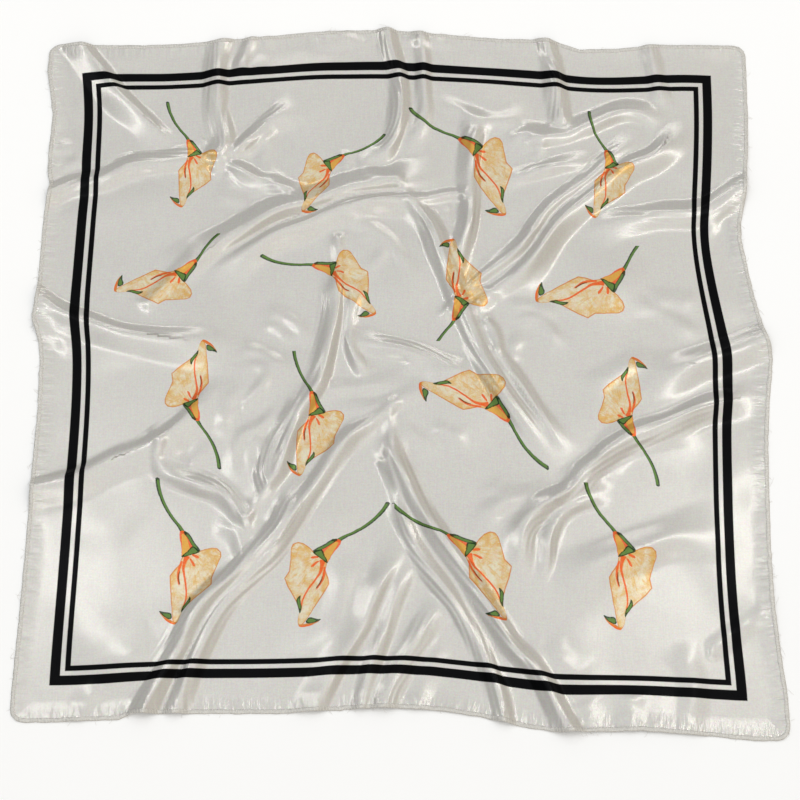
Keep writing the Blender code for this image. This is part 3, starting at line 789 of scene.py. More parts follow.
def draw_curve(curve_node, table, straight=False):
    """Gives a float curve node these points, joined by a smooth curve or straight lines."""
    curve = curve_node.mapping.curves[0]
    for point, (x, y) in zip(curve.points, (table[0], table[-1])):
        point.location = (x, y)
    for x, y in table[1:-1]:
        curve.points.new(x, y)
    if straight:
        for point in curve.points:
            point.handle_type = "VECTOR"
    curve_node.mapping.update()


def stroke_mask(tree, stroke, p, q):
    """Where a brush stroke puts its paint, from 0 to 1."""
    along, aside = (q, p) if stroke.turned else (p, q)
    middle_reach = 100.0
    width_reach = 12.0
    absent = -2.0
    place = add(tree, "MapRange", {0: along, 1: -LILY_REACH, 2: LILY_REACH})
    middle = add(tree, "FloatCurve", {"Value": place})
    ways = [((a + LILY_REACH) / (2 * LILY_REACH), s, w) for a, s, w in stroke.way]
    first, last = stroke.way[0], stroke.way[-1]
    ways = [(0, first[1], 0), *ways, (1, last[1], 0)]
    draw_curve(middle, [(x, 0.5 + s / (2 * middle_reach)) for x, s, _ in ways])
    width = add(tree, "FloatCurve", {"Value": place})
    widths = [(x, ((w or absent) - absent) / width_reach) for x, _, w in ways]
    draw_curve(width, widths, straight=True)
    centre = add(tree, "MapRange", {0: middle, 3: -middle_reach, 4: middle_reach})
    gap = add(tree, "Math", {0: aside, 1: centre}, operation="SUBTRACT")
    gap = add(tree, "Math", {0: gap}, operation="ABSOLUTE")
    half = add(tree, "MapRange", {0: width, 3: absent, 4: absent + width_reach})
    inside = add(tree, "Math", {0: half, 1: gap}, operation="SUBTRACT")
    soft = 0.45
    return add(tree, "MapRange", {0: inside, 1: -soft, 2: soft}, interpolation_type="SMOOTHSTEP")


def petal_depth(tree, p, q):
    """How far inside the petal's outline a place lies, in millimetres."""
    across = add(tree, "Math", {0: p, 1: PETAL_CENTRE[0]}, operation="SUBTRACT")
    up = add(tree, "Math", {0: q, 1: PETAL_CENTRE[1]}, operation="SUBTRACT")
    angle = add(tree, "Math", {0: up, 1: across}, operation="ARCTAN2")
    turn = add(tree, "MapRange", {0: angle, 1: -math.pi, 2: math.pi})
    radius = add(tree, "FloatCurve", {"Value": turn})
    draw_curve(radius, polar_table(PETAL, PETAL_CENTRE, PETAL_REACH), straight=True)
    reach = add(tree, "Math", {0: radius, 1: PETAL_REACH}, operation="MULTIPLY")
    squares = [
        add(tree, "Math", {0: side, 1: 2.0}, operation="POWER") for side in (across, up)
    ]
    total = add(tree, "Math", {0: squares[0], 1: squares[1]}, operation="ADD")
    distance = add(tree, "Math", {0: total}, operation="SQRT")
    return add(tree, "Math", {0: reach, 1: distance}, operation="SUBTRACT")


def sewn_places(tree, side):
    """The sewn place of a point of the cloth, as u and v."""
    flat = add(tree, "UVMap", uv_map="OFBake")
    shares = add(tree, "SeparateXYZ", {0: flat})
    half = side / 2
    return [
        add(tree, "MapRange", {0: shares.outputs[axis], 3: -half, 4: half}, clamp=False)
        for axis in (0, 1)
    ]


def painted_lilies(tree, u, v, paper, ground, colours):
    """The print's lilies over the ground colour."""
    place = add(tree, "Attribute", attribute_name="lily_place")
    cup = add(tree, "SeparateXYZ", {0: place.outputs["Vector"]})
    hand = add(tree, "Attribute", attribute_name="lily_hand").outputs["Fac"]
    gap_u = add(tree, "Math", {0: u, 1: cup.outputs[0]}, operation="SUBTRACT")
    gap_v = add(tree, "Math", {0: v, 1: cup.outputs[1]}, operation="SUBTRACT")
    gap = add(tree, "CombineXYZ", {0: gap_u, 1: gap_v})
    turn = add(tree, "Math", {0: cup.outputs[2], 1: -1.0}, operation="MULTIPLY")
    own = add(tree, "VectorRotate", {"Vector": gap, "Angle": turn}, rotation_type="Z_AXIS")
    own = add(tree, "SeparateXYZ", {0: own})
    # A brush doesn't keep to a ruler, so the drawing wavers by a few tenths of a millimetre.
    waver = add(tree, "TexNoise", {"Vector": paper, "Scale": 1 / WAVER, "Detail": 2.0})
    waver = add(tree, "VectorMath", {0: waver.outputs["Color"], 1: (0.5, 0.5, 0.5)},
                operation="SUBTRACT")
    waver = add(tree, "SeparateXYZ", {0: waver})
    size = add(tree, "Math", {0: hand}, operation="ABSOLUTE")
    p = add(tree, "Math", {0: own.outputs[0], 1: size}, operation="DIVIDE")
    p = add(tree, "Math", {0: waver.outputs[0], 1: WAVERING, 2: p}, operation="MULTIPLY_ADD")
    q = add(tree, "Math", {0: own.outputs[1], 1: hand}, operation="DIVIDE")
    q = add(tree, "Math", {0: waver.outputs[1], 1: WAVERING, 2: q}, operation="MULTIPLY_ADD")

    depth = petal_depth(tree, p, q)
    petal = add(tree, "MapRange", {0: depth, 1: -0.4, 2: 0.4})
    line = add(tree, "MapRange", {0: depth, 1: 0.9, 2: 1.9, 3: 0.95, 4: 0.0})
    rim = add(tree, "MapRange", {0: depth, 1: 0.8, 2: 9.0, 3: 0.8, 4: 0.0})
    throat = add(tree, "MapRange", {0: p, 1: 0.0, 2: 30.0, 3: 0.7, 4: 0.0})
    # Watercolour: the wash pools in blotches of a centimetre or two, and thin veins of it
    # run from the throat.
    pool = add(tree, "TexNoise", {
        "Vector": paper, "Scale": 1 / BLOTCH, "Detail": 8.0, "Roughness": 0.8, "Distortion": 0.6})
    pool = add(tree, "MapRange", {0: pool, 1: 0.44, 2: 0.6, 4: 0.75})
    out = add(tree, "Math", {0: q, 1: p}, operation="ARCTAN2")
    distance = add(tree, "CombineXYZ", {0: p, 1: q})
    distance = add(tree, "VectorMath", {0: distance}, operation="LENGTH")
    veins = add(tree, "CombineXYZ", {0: out, 1: distance.outputs["Value"]})
    veins = add(tree, "Mapping", {0: veins, "Scale": (7.0, 0.04, 1)})
    veins = add(tree, "TexNoise", {
        "Vector": veins, "Scale": 1.0, "Detail": 4.0, "Roughness": 0.65})
    veins = add(tree, "MapRange", {0: veins, 1: 0.5, 2: 0.62, 4: 0.65})
    wet = add(tree, "TexNoise", {"Vector": paper, "Scale": 1 / WET_PATCH, "Detail": 5.0})
    wet = add(tree, "MapRange", {0: wet, 1: 0.42, 2: 0.58})
    rim = add(tree, "Math", {0: rim, 1: wet}, operation="MULTIPLY")
    throat = add(tree, "Math", {0: throat, 1: wet}, operation="MULTIPLY")

    wash = (*colours["cream"], 1)
    ochre, amber = ((*colours[name], 1) for name in ("ochre", "amber"))
    for share, paint in (
        (pool, ochre), (veins, ochre), (rim, ochre), (throat, ochre), (line, amber),
    ):
        wash = add(tree, "Mix", {0: share, 6: wash, 7: paint}, data_type="RGBA").outputs[2]

    under, over = (
        [(stroke_mask(tree, stroke, p, q), (*colours[stroke.colour], 1)) for stroke in strokes]
        for strokes in (UNDER_PETAL, ON_PETAL)
    )
    # A brush leaves its paint thinner here and there.
    brush = add(tree, "TexNoise", {"Vector": paper, "Scale": 1 / BRISTLE, "Detail": 3.0})
    brush = add(tree, "MapRange", {0: brush, 1: 0.4, 2: 0.6, 3: 0.88, 4: 1.0})
    for mask, paint in (*under, (petal, wash), *over):
        mask = add(tree, "Math", {0: mask, 1: brush}, operation="MULTIPLY")
        painted = add(tree, "Mix", {0: mask, 6: ground, 7: paint}, data_type="RGBA")
        ground = painted.outputs[2]
    return ground


def from_middle(tree, u, v):
    """How far a place is from each of the cloth's two middle lines, and the greater of both."""
    across = [add(tree, "Math", {0: way}, operation="ABSOLUTE") for way in (u, v)]
    return across, add(tree, "Math", {0: across[0], 1: across[1]}, operation="MAXIMUM")


def printed_stripes(tree, u, v, ground, sizes, ink):
    """The two border stripes over the ground colour."""
    # The stripes are printed a little off the cloth's middle.
    u = add(tree, "Math", {0: u, 1: STRIPES_LEFT}, operation="ADD")
    _, out = from_middle(tree, u, v)
    outer_end = (sizes.side / 2 - sizes.margin) / MM
    outer_start = outer_end - sizes.outer_stripe / MM
    inner_end = outer_start - sizes.stripe_gap / MM
    inner_start = inner_end - sizes.inner_stripe / MM
    soft = 0.35
    for start, end in ((outer_start, outer_end), (inner_start, inner_end)):
        begun = add(tree, "MapRange", {0: out, 1: start - soft, 2: start + soft})
        ended = add(tree, "MapRange", {0: out, 1: end - soft, 2: end + soft, 3: 1, 4: 0})
        stripe = add(tree, "Math", {0: begun, 1: ended}, operation="MULTIPLY")
        printed = add(tree, "Mix", {0: stripe, 6: ground, 7: (*ink, 1)}, data_type="RGBA")
        ground = printed.outputs[2]
    return ground


def satin_finish(tree, shader, colour, normal, roughness=0.22):
    """The finish that all the satin shares.

    Polyester satin floats its filaments side by side, so it mirrors soft bright bands
    along a fold, tinted like the cloth, where a plain weave would scatter them. Its index
    is polyester's, and the metallic share stands for light that turns inside the dyed
    filaments and comes out coloured.
    """
    set_finish(shader, {
        "IOR": POLYESTER_IOR, "Specular IOR Level": 0.05, "Metallic": 0.43, "Roughness": roughness})
    tree.links.new(colour, shader.inputs["Base Color"])
    tree.links.new(normal, shader.inputs["Normal"])


def printed_satin(sizes, colours):
    """Woven polyester satin, heat-set smooth and then printed: glossy along its folds."""
    material, tree, shader = new_material("polyester_satin_printed")
    side = sizes.side / MM
    u, v = sewn_places(tree, side)
    sewn = add(tree, "CombineXYZ", {0: u, 1: v})
    paints = {name: getattr(colours, name)[:] for name in ScarfColours.__annotations__}

    # Threads: a satin's floats run one way, over the warp. The real ones are about 0.12 mm
    # apart and too fine to show, so they are drawn as slubs 1.3 mm wide and 20 mm long.
    slub = add(tree, "Mapping", {0: sewn, "Scale": (*per_mm(SLUB), 1)})
    slub = add(tree, "TexNoise", {"Vector": slub, "Scale": 1.0, "Detail": 3.0})
    warp = add(tree, "Mapping", {0: sewn, "Scale": (*per_mm(WARP), 1)})
    warp = add(tree, "TexNoise", {"Vector": warp, "Scale": 1.0, "Detail": 2.0})
    threads = add(tree, "Math", {0: slub, 1: warp}, operation="ADD")
    tone = add(tree, "MapRange", {0: threads, 1: 0.75, 2: 1.25, 3: 0.97, 4: 1.03})

    ground = (*paints["ivory"], 1)
    ground = printed_stripes(tree, u, v, ground, sizes, paints["ink"])
    ground = painted_lilies(tree, u, v, sewn, ground, paints)
    toned = add(tree, "VectorMath", {0: ground, 3: tone}, operation="SCALE")
    # The floats' glitter, a painted glint in the colour, drawn 2 mm wide for the same reason.
    painted_glitter = add(tree, "TexNoise", {"Vector": sewn, "Scale": 1 / GLITTER, "Detail": 1.0})
    painted_glitter = add(tree, "VectorMath", {
        0: painted_glitter.outputs["Color"], 1: (0.34, 0.34, 0.34), 2: (0.83, 0.83, 0.83)},
        operation="MULTIPLY_ADD")
    toned = add(tree, "VectorMath", {0: toned, 1: painted_glitter}, operation="MULTIPLY")

    # Creases too small for the mesh: soft crumples a few centimetres long.
    crumple = add(tree, "TexNoise", {
        "Vector": sewn, "Scale": 1 / CRUMPLE, "Detail": 3.0, "Roughness": 0.45, "Distortion": 0.8})
    # The fine pleats that a stretched fold draws beside its crest.
    ridge = add(tree, "Attribute", attribute_name="pleat_ridge").outputs["Fac"]
    depth = add(tree, "Attribute", attribute_name="pleat_depth").outputs["Fac"]
    pleat = add(tree, "Math", {0: ridge, 1: 2 * math.pi}, operation="MULTIPLY")
    pleat = add(tree, "Math", {0: pleat}, operation="COSINE")
    pleat = add(tree, "Math", {0: pleat, 1: depth}, operation="MULTIPLY")
    # The hem's thread draws the cloth beside it into puckers some 7 mm apart.
    across, out = from_middle(tree, u, v)
    at_sides = add(tree, "Math", {0: across[0], 1: across[1]}, operation="GREATER_THAN")
    along = add(tree, "Mix", {0: at_sides, 2: u, 3: v})
    pucker = add(tree, "CombineXYZ", {0: along, 1: out})
    pucker = add(tree, "Mapping", {0: pucker, "Scale": (*per_mm(PUCKER), 1)})
    pucker = add(tree, "TexNoise", {"Vector": pucker, "Scale": 1.0, "Detail": 2.0})
    from_hem, to_hem = (side / 2 - reach for reach in PUCKERED)
    by_hem = add(tree, "MapRange", {0: out, 1: from_hem, 2: to_hem},
                 interpolation_type="SMOOTHSTEP")
    pucker = add(tree, "Math", {0: pucker, 1: by_hem}, operation="MULTIPLY")
    # Each relief, with how high it stands in millimetres.
    bumps = None
    for relief, height in ((crumple, 0.17), (pleat, 0.2), (pucker, 1.6), (threads, 0.018)):
        under = {"Normal": bumps} if bumps else {}
        bumps = add(tree, "Bump", {
            "Height": relief, "Distance": height * MM, "Strength": 1.0, **under})
    satin_finish(tree, shader, toned.outputs[0], bumps.outputs[0])
    return material


def hem_satin(colours):
    """The same satin rolled on itself: its creased layers scatter more than the flat cloth."""
    material, tree, shader = new_material("polyester_satin_rolled")
    place = add(tree, "TexCoord").outputs["Object"]
    crease_and_painted_shade = add(tree, "TexNoise", {"Vector": place, "Scale": 1 / (HEM_CREASE * MM), "Detail": 3.0})
    # Painted shade: the colour is darker in the creases' hollows and lighter on their crests.
    tone = add(tree, "MapRange", {0: crease_and_painted_shade, 1: 0.35, 2: 0.65, 3: 0.9, 4: 1.06})
    toned = add(tree, "VectorMath", {0: colours.ivory[:], 3: tone}, operation="SCALE")
    bumps = add(tree, "Bump", {"Height": crease_and_painted_shade, "Distance": 0.25 * MM, "Strength": 1.0})
    satin_finish(tree, shader, toned.outputs[0], bumps.outputs[0], roughness=0.34)
    return material


def spun_thread(colours):
    """Spun polyester sewing thread: matt, with the fuzz of its short fibres at its edges."""
    material, tree, shader = new_material("polyester_thread_spun")
    place = add(tree, "TexCoord").outputs["Object"]
    # Fibres twist round the thread a little more than once a millimetre.
    twist = add(tree, "TexNoise", {"Vector": place, "Scale": 1 / (THREAD_TWIST * MM), "Detail": 1.0})
    tone = add(tree, "MapRange", {0: twist, 1: 0.35, 2: 0.65, 3: 0.86, 4: 1.05})
    toned = add(tree, "VectorMath", {0: colours.thread[:], 3: tone}, operation="SCALE")
    set_finish(shader, {"IOR": POLYESTER_IOR, "Roughness": 0.6, "Sheen Weight": 0.3})
    tree.links.new(toned.outputs[0], shader.inputs["Base Color"])
    return material


def studio_floor():
    """Matt white painted board: no gloss, only a faint unevenness of the roller."""
    material, tree, shader = new_material("board_matt_painted")
    place = add(tree, "TexCoord").outputs["Object"]
    roller = add(tree, "TexNoise", {"Vector": place, "Scale": 1 / (ROLLER * MM), "Detail": 2.0})
    tone = add(tree, "MapRange", {0: roller, 3: 0.985, 4: 1.0})
    toned = add(tree, "VectorMath", {0: linear("#FCFCFC"), 3: tone}, operation="SCALE")
    set_finish(shader, {"Roughness": 0.95, "Specular IOR Level": 0.1})
    tree.links.new(toned.outputs[0], shader.inputs["Base Color"])
    return material


# --- The stage ----------------------------------------------------------------------------

# The camera, from the photograph: its height above the floor in degrees, how far it is
# from what it aims at, and that place on the floor, from the middle of the scarf.
CAMERA_ELEVATION = 70
CAMERA_DISTANCE = 2.41
AIM = (-0.0007, -0.048)
LENS = 90.45

# The studio: the glow of its ceiling, with its tilt from overhead and its turn from the
# right in degrees, how many degrees off it has faded, and its colour at its middle; the
# colours of its walls, and the way to the warmer one.
GLOW_WAY = (6, 90)
GLOW_REACH = 60
GLOW = (0.80, 0.85, 0.90)
WARM_WAY = -25
COOL_WALL = (0.50, 0.51, 0.52)
WARM_WALL = (0.80, 0.75, 0.67)
# Its softboxes, each with its tilt and turn as above, its distance and sides in metres,
# and how bright its face is.
Softbox = namedtuple("Softbox", "name tilt turn distance width length radiance")
SOFTBOXES = (
    Softbox("strip_right", 35, 30, 2.8, 0.13, 2.0, 6.0),
    Softbox("strip_left", 35, 150, 2.8, 0.13, 2.0, 5.6),
    Softbox("strip_back", 46, 90, 2.8, 2.0, 0.13, 4.7),
    Softbox("strip_front", 17, 270, 2.8, 2.0, 0.13, 3.8),
)


def light_surroundings(tree):
    """A soft glow overhead that fades into walls, cool on one side and warm on the other."""
    way = add(tree, "TexCoord").outputs["Generated"]
    tilt, turn = (math.radians(angle) for angle in GLOW_WAY)
    centre = (math.sin(tilt) * math.cos(turn), math.sin(tilt) * math.sin(turn), math.cos(tilt))
    near = add(tree, "VectorMath", {0: way, 1: centre}, operation="DOT_PRODUCT")
    near = add(tree, "Math", {0: near.outputs["Value"]}, operation="ARCCOSINE")
    fade = add(tree, "MapRange", {0: near, 1: math.radians(GLOW_REACH), 2: 0.0},
               interpolation_type="SMOOTHERSTEP")
    glow = add(tree, "VectorMath", {0: GLOW, 3: fade}, operation="SCALE")
    turn = math.radians(WARM_WAY)
    side = add(tree, "VectorMath",
               {0: way, 1: (math.cos(turn), math.sin(turn), 0)}, operation="DOT_PRODUCT")
    side = add(tree, "MapRange", {0: side.outputs["Value"], 1: -0.5, 2: 0.6},
               interpolation_type="SMOOTHSTEP")
    walls = add(tree, "Mix", {0: side, 6: (*COOL_WALL, 1), 7: (*WARM_WALL, 1)},
                data_type="RGBA")
    total = add(tree, "VectorMath", {0: walls.outputs[2], 1: glow}, operation="ADD")
    tree.links.new(total.outputs[0], tree.nodes["Background"].inputs["Color"])


class SCARF_OT_stage(bpy.types.Operator):
    """Set the floor, the softboxes and the camera"""

    bl_idname = "scarf.stage"
    bl_label = "Stage"

    def execute(self, context):
        scene = context.scene
        middle = (Vector(CAD_BOX[0]) + Vector(CAD_BOX[1])) / 2
        bpy.ops.mesh.primitive_plane_add(size=40, location=(0, 0, 0))
        floor = context.object
        floor.name = "floor"
        floor.data.materials.append(studio_floor())

        world = bpy.data.worlds.new("studio")
        world.use_nodes = True
        light_surroundings(world.node_tree)
        scene.world = world
        # Plain display colours keep the floor white and the stripes black.
        scene.view_settings.view_transform = "Standard"
        for box in SOFTBOXES:
            light = bpy.data.lights.new(box.name, "AREA")
            light.shape = "RECTANGLE"
            light.size = box.width
            light.size_y = box.length
            light.energy = box.radiance * box.width * box.length * math.pi
            lamp = bpy.data.objects.new(box.name, light)
            scene.collection.objects.link(lamp)
            tilt = math.radians(box.tilt)
            turn = math.radians(box.turn)
            way = Vector((
                math.sin(tilt) * math.cos(turn), math.sin(tilt) * math.sin(turn), math.cos(tilt)))
            lamp.location = way * box.distance
            lamp.rotation_euler = way.to_track_quat("Z", "Y").to_euler()
            lamp.visible_camera = False

        view = bpy.data.cameras.new("camera")
        view.sensor_width = 36
        view.lens = LENS
        view.clip_end = 100
        camera = bpy.data.objects.new("camera", view)
        scene.collection.objects.link(camera)
        elevation = math.radians(CAMERA_ELEVATION)
        camera.location = (
            middle.x + AIM[0],
            middle.y + AIM[1] - CAMERA_DISTANCE * math.cos(elevation),
            CAMERA_DISTANCE * math.sin(elevation),
        )
        camera.rotation_euler = (math.pi / 2 - elevation, 0, 0)
        scene.camera = camera
        return {"FINISHED"}


# --- Pieces -------------------------------------------------------------------------------

# How far the cloth's middle layer lies above what it rests on, and how much more its
# border does, where it goes into the hem.
CLOTH_LIFT = 0.3
HEM_LIFT = 0.85
HEM_LIFT_REACH = 7.0
HEM_SIDES = 12
HEM_FLATNESS = 0.8  # 1 is an ellipse, and less is squarer
HEM_UNEVEN = 0.07  # how much fuller it gets, as a share
HEM_WAVER = 0.22
HEM_CLEAR = 0.05  # the least height of its skin above the floor
# An overstitch comes from the cloth just inside the roll, over its top and round its outer
# edge: the angles round the roll, its slant along it and how much that differs.
STITCH_ANGLES = (168, 140, 100, 60, 25, -12)
STITCH_SLANT = 2.4
SLANT_SPREAD = 0.3
STITCH_PUFF = 1.09  # how far out of the roll it lies, as a share of the roll
STITCH_RADIUS = 0.34
STITCH_CLEAR = 0.25
LOOSE_ENDS = (("left", 60), ("right", 34), ("front", 22), ("back", 14))  # how many
LOOSE_END_LENGTHS = (2.5, 7.5)  # the shortest and the longest
LOOSE_END_RADIUS = 0.14
LOOSE_END_CLEAR = 0.2
SIDES = ("front", "right", "back", "left")


def new_object(name, points, faces, material):
    """An object of these points, in metres, and faces, shaded smooth."""
    mesh = bpy.data.meshes.new(name)
    mesh.from_pydata(points.reshape(-1, 3).tolist(), [], faces.tolist())
    mesh.materials.append(material)
    mesh.shade_smooth()
    mesh.update()
    piece = bpy.data.objects.new(name, mesh)
    bpy.context.scene.collection.objects.link(piece)
    return piece


def grid_faces(rows, columns, closed=False):
    """The quads of a grid of points, row by row. A closed grid joins its last column to its first."""
    row, column = np.meshgrid(np.arange(rows - 1), np.arange(columns - (not closed)), indexing="ij")
    here = row * columns + column
    beside_it = row * columns + (column + 1) % columns
    return np.stack([here, beside_it, beside_it + columns, here + columns], -1).reshape(-1, 4)


def the_cloth(sizes):
    """The laid cloth in millimetres, and in metres in the frame of the part."""
    cloth = laid_cloth(round(sizes.side / MM, 3), round(sizes.corner / MM, 3), sizes.cells)
    low = cloth.reshape(-1, 3).min(0)
    high = cloth.reshape(-1, 3).max(0)
    cad_low, cad_high = np.array(CAD_BOX)
    shift = (cad_low + cad_high) / 2 - (low + high) / 2 * MM
    shift[2] = 0
    return cloth, cloth * MM + shift


def hem_row(cloth, side):
    """The hem's outer edge on one side and the row of points just inside it."""
    rows = {
        "front": (cloth[0], cloth[1]),
        "right": (cloth[:, -1], cloth[:, -2]),
        "back": (cloth[-1, ::-1], cloth[-2, ::-1]),
        "left": (cloth[::-1, 0], cloth[::-1, 1]),
    }
    return rows[side]


def hem_frame(cloth, side, sizes):
    """The hem's middle line on one side, and the ways out, up and along at each point of it."""
    outer, inner = (finer(line) for line in hem_row(cloth, side))
    out = outer - inner
    out /= np.linalg.norm(out, axis=1, keepdims=True)
    along = np.gradient(outer, axis=0)
    along /= np.linalg.norm(along, axis=1, keepdims=True)
    up = np.cross(out, along)
    up *= np.sign(up[:, 2:])
    up /= np.linalg.norm(up, axis=1, keepdims=True)
    middle = outer - out * sizes.hem_width / 2
    middle[:, 2] += sizes.hem_height / 2
    return middle, out, up, along


def hem_section(angle, sizes, puff):
    """How far out and up the roll's skin is at an angle round it: a flattened round."""
    out = np.sign(np.cos(angle)) * np.abs(np.cos(angle)) ** HEM_FLATNESS * sizes.hem_width / 2
    up = np.sign(np.sin(angle)) * np.abs(np.sin(angle)) ** HEM_FLATNESS * sizes.hem_height / 2
    return out * puff, up * puff


def tubes(paths, radius, sides):
    """Points and faces of many thin tubes along these paths, their ends drawn to points."""
    along = np.gradient(paths, axis=1)
    along /= np.maximum(np.linalg.norm(along, axis=2, keepdims=True), 1e-12)
    aside = np.cross(along, (0.0, 0.0, 1.0))
    lengths = np.linalg.norm(aside, axis=2, keepdims=True)
    aside = np.where(lengths > 1e-6, aside / np.maximum(lengths, 1e-12), (1.0, 0.0, 0.0))
    above = np.cross(aside, along)
    count, steps = paths.shape[:2]
    taper = np.ones(steps)
    taper[[0, -1]] = 0.15
    angles = np.arange(sides) * 2 * np.pi / sides
    ring = aside[:, :, None] * np.cos(angles)[:, None] + above[:, :, None] * np.sin(angles)[:, None]
    points = paths[:, :, None] + radius * taper[None, :, None, None] * ring
    faces = grid_faces(steps, sides, closed=True)
    faces = faces[None] + (np.arange(count) * steps * sides)[:, None, None]
    return points, faces.reshape(-1, 4)


def dress(piece, slot, *nodes):
    """Puts a piece on the part, in place of these nodes of it."""
    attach(piece, BODY)
    if nodes:
        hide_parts(*nodes)


class SCARF_OT_cloth(bpy.types.Operator):
    """Lay the printed satin square over its folds"""

    bl_idname = "scarf.cloth"
    bl_label = "Printed cloth"

    def execute(self, context):
        sizes = context.scene.scarf_sizes
        laid, cloth = the_cloth(sizes)
        side = sizes.side / MM
        line = np.linspace(-side / 2, side / 2, sizes.cells + 1)[1:-1]
        u, v = np.meshgrid(line, line)
        # The border row lies inside the hem, so it ends in it.
        points = cloth[1:-1, 1:-1].copy()
        to_hem = line[-1] - np.maximum(np.abs(u), np.abs(v))
        points[..., 2] += (CLOTH_LIFT + HEM_LIFT * np.exp(-to_hem / HEM_LIFT_REACH)) * MM
        rows = len(line)
        piece = new_object(
            "satin_cloth", points, grid_faces(rows, rows),
            printed_satin(sizes, context.scene.scarf_colours),
        )
        mesh = piece.data
        flat = np.stack([u, v], -1).reshape(-1, 2) / side + 0.5
        corners = np.empty(len(mesh.loops), np.int32)
        mesh.loops.foreach_get("vertex_index", corners)
        mesh.uv_layers.new(name="OFBake")
        mesh.uv_layers["OFBake"].data.foreach_set("uv", flat[corners].astype(np.float32).ravel())
        # Each face knows its nearest lily, which the material then draws.
        centres = (flat[corners].reshape(-1, 4, 2).mean(1) - 0.5) * side
        middles = np.array([
            (lily.u + LILY_MIDDLE * math.cos(math.radians(lily.turn)),
             lily.v + LILY_MIDDLE * math.sin(math.radians(lily.turn))) for lily in LILIES])
        nearest = np.argmin(((centres[:, None] - middles) ** 2).sum(-1), axis=1)
        places = np.array([(lily.u, lily.v, math.radians(lily.turn)) for lily in LILIES])
        hands = np.array([-lily.size if lily.mirrored else lily.size for lily in LILIES])
        place = mesh.attributes.new("lily_place", "FLOAT_VECTOR", "FACE")
        place.data.foreach_set("vector", places[nearest].astype(np.float32).ravel())
        hand = mesh.attributes.new("lily_hand", "FLOAT", "FACE")
        hand.data.foreach_set("value", hands[nearest].astype(np.float32))
        # Each point knows its place among the fine pleats of its fold.
        x, y, _ = laid[1:-1, 1:-1].reshape(-1, 3).T
        for name, values in zip(("pleat_ridge", "pleat_depth"), pleats(x, y)):
            kept = mesh.attributes.new(name, "FLOAT", "POINT")
            kept.data.foreach_set("value", values.astype(np.float32))
        dress(piece, "satin_panel", "panel")
        return {"FINISHED"}


class SCARF_OT_hems(bpy.types.Operator):
    """Roll the hem along each side"""

    bl_idname = "scarf.hems"
    bl_label = "Rolled hems"

    def execute(self, context):
        sizes = context.scene.scarf_sizes
        material = hem_satin(context.scene.scarf_colours)
        cloth = the_cloth(sizes)[1]
        angles = np.arange(HEM_SIDES) * 2 * np.pi / HEM_SIDES
        for number, side in enumerate(SIDES):
            middle, out, up, _ = hem_frame(cloth, side, sizes)
            chance = np.random.default_rng(40 + number)
            # The roll is fuller in some places than in others, and wavers a little.
            count = len(middle)
            knots = chance.normal(0, 1, (2, count // 4 + 2))
            places = np.arange(count) / 4
            fuller, waver = (np.interp(places, np.arange(len(row)), row) for row in knots)
            puff = (1 + HEM_UNEVEN * fuller)[:, None]
            across, above = hem_section(angles[None], sizes, puff)
            middle = middle + out * (HEM_WAVER * MM * waver[:, None])
            points = middle[:, None] + out[:, None] * across[..., None]
            points = points + up[:, None] * above[..., None]
            points[..., 2] = np.maximum(points[..., 2], HEM_CLEAR * MM)
            piece = new_object(
                f"rolled_hem_{side}", points, grid_faces(count, len(angles), closed=True), material
            )
            dress(piece, "rolled_hem", f"hem_{side}")
        return {"FINISHED"}


class SCARF_OT_stitches(bpy.types.Operator):
    """Sew the slanted overstitches over each hem"""

    bl_idname = "scarf.stitches"
    bl_label = "Overstitching"

    def execute(self, context):
        sizes = context.scene.scarf_sizes
        cloth = the_cloth(sizes)[1]
        chance = np.random.default_rng(7)
        angles = np.radians(STITCH_ANGLES)
        slant = np.linspace(-0.5, 0.5, len(angles))
        paths = []
        for side in SIDES:
            middle, out, up, along = hem_frame(cloth, side, sizes)
            travelled = np.linalg.norm(np.diff(middle, axis=0), axis=1).cumsum()
            travelled = np.concatenate([[0], travelled])
            places = np.arange(sizes.stitch, travelled[-1] - sizes.stitch, sizes.stitch)
            places = places + chance.normal(0, 0.08, len(places)) * sizes.stitch
            frames = [
                np.stack([np.interp(places, travelled, way[:, axis]) for axis in range(3)], -1)
                for way in (middle, out, up, along)
            ]
            at, outward, upward, onward = (way[:, None] for way in frames)
            lean = chance.normal(STITCH_SLANT, SLANT_SPREAD, len(places))[:, None] * MM
            across, above = hem_section(angles[None], sizes, STITCH_PUFF)
            path = at + outward * across[..., None] + upward * above[..., None]
            path = path + onward * (lean * slant)[..., None]
            path[..., 2] = np.maximum(path[..., 2], STITCH_CLEAR * MM)
            paths.append(path)
        points, faces = tubes(np.concatenate(paths), STITCH_RADIUS * MM, 4)
        piece = new_object(
            "hem_overstitching", points, faces, spun_thread(context.scene.scarf_colours)
        )
        dress(piece, "rolled_hem")
        return {"FINISHED"}


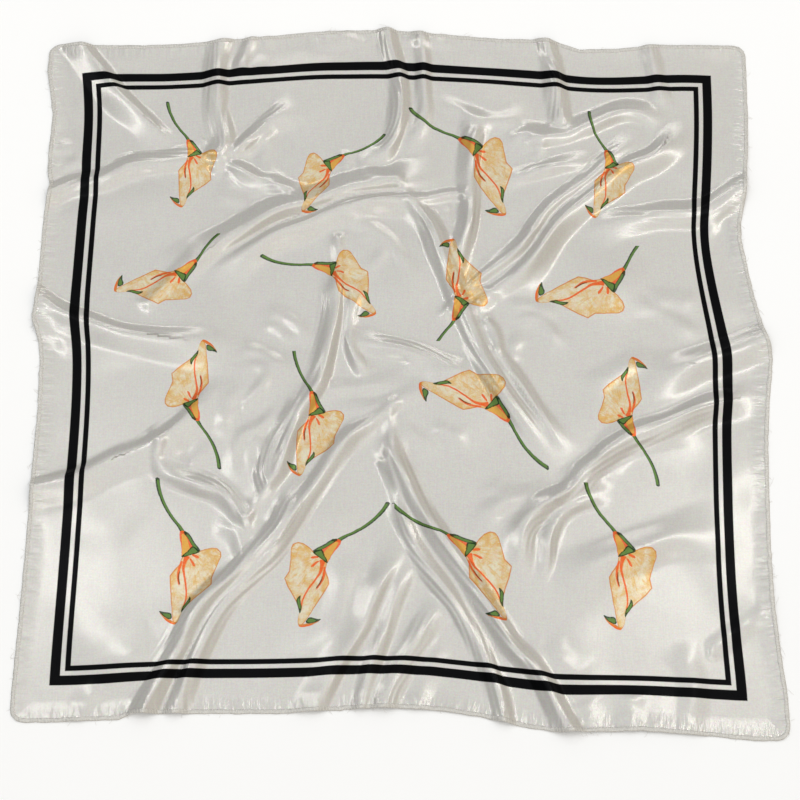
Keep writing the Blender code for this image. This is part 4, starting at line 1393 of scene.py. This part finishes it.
class SCARF_OT_loose_ends(bpy.types.Operator):
    """Let the hems' loose thread ends stick out"""

    bl_idname = "scarf.loose_ends"
    bl_label = "Loose thread ends"

    def execute(self, context):
        sizes = context.scene.scarf_sizes
        cloth = the_cloth(sizes)[1]
        chance = np.random.default_rng(19)
        paths = []
        steps = np.linspace(0, 1, 7)[None, :, None]
        for side, count in LOOSE_ENDS:
            middle, out, _, along = hem_frame(cloth, side, sizes)
            picks = chance.integers(8, len(middle) - 8, count)
            length = chance.uniform(*LOOSE_END_LENGTHS, (count, 1, 1)) * MM
            lean = chance.normal(0, 0.7, (count, 1, 1))
            curl = chance.normal(0, 0.6, (count, 1, 1))
            start = middle[picks][:, None] + out[picks][:, None] * (0.42 * sizes.hem_width)
            way = out[picks][:, None] + along[picks][:, None] * (lean + curl * steps)
            path = start + way * (length * steps)
            fall = path[..., 2] * (1 - 0.9 * steps[..., 0] ** 1.5)
            path[..., 2] = np.maximum(fall, LOOSE_END_CLEAR * MM)
            paths.append(path)
        points, faces = tubes(np.concatenate(paths), LOOSE_END_RADIUS * MM, 3)
        piece = new_object(
            "hem_loose_ends", points, faces, spun_thread(context.scene.scarf_colours)
        )
        dress(piece, "rolled_hem")
        return {"FINISHED"}


class SCARF_OT_declare(bpy.types.Operator):
    """Return at once, without changing the scene"""

    bl_idname = "scarf.declare"
    bl_label = "State the cut"

    def execute(self, context):
        return {"FINISHED"}


class SCARF_PT_panel(bpy.types.Panel):
    """The scarf's sizes, colours and pieces"""

    bl_idname = "SCARF_PT_panel"
    bl_label = "Printed satin scarf"
    bl_space_type = "VIEW_3D"
    bl_region_type = "UI"
    bl_category = "Scarf"

    def draw(self, context):
        for group in (context.scene.scarf_sizes, context.scene.scarf_colours):
            box = self.layout.box()
            for name in type(group).__annotations__:
                box.prop(group, name)
        for step in STEPS:
            self.layout.operator(step.bl_idname)


STEPS = (
    SCARF_OT_stage, SCARF_OT_cloth, SCARF_OT_hems, SCARF_OT_stitches, SCARF_OT_loose_ends,
    SCARF_OT_declare,
)
CLASSES = (ScarfSizes, ScarfColours, *STEPS, SCARF_PT_panel)


def register():
    for kind in CLASSES:
        bpy.utils.register_class(kind)
    bpy.types.Scene.scarf_sizes = bpy.props.PointerProperty(type=ScarfSizes)
    bpy.types.Scene.scarf_colours = bpy.props.PointerProperty(type=ScarfColours)


def unregister():
    del bpy.types.Scene.scarf_colours
    del bpy.types.Scene.scarf_sizes
    for kind in reversed(CLASSES):
        bpy.utils.unregister_class(kind)


def main():
    register()
    for step in STEPS:
        group, name = step.bl_idname.split(".")
        getattr(getattr(bpy.ops, group), name)()


if __name__ == "__main__":
    main()
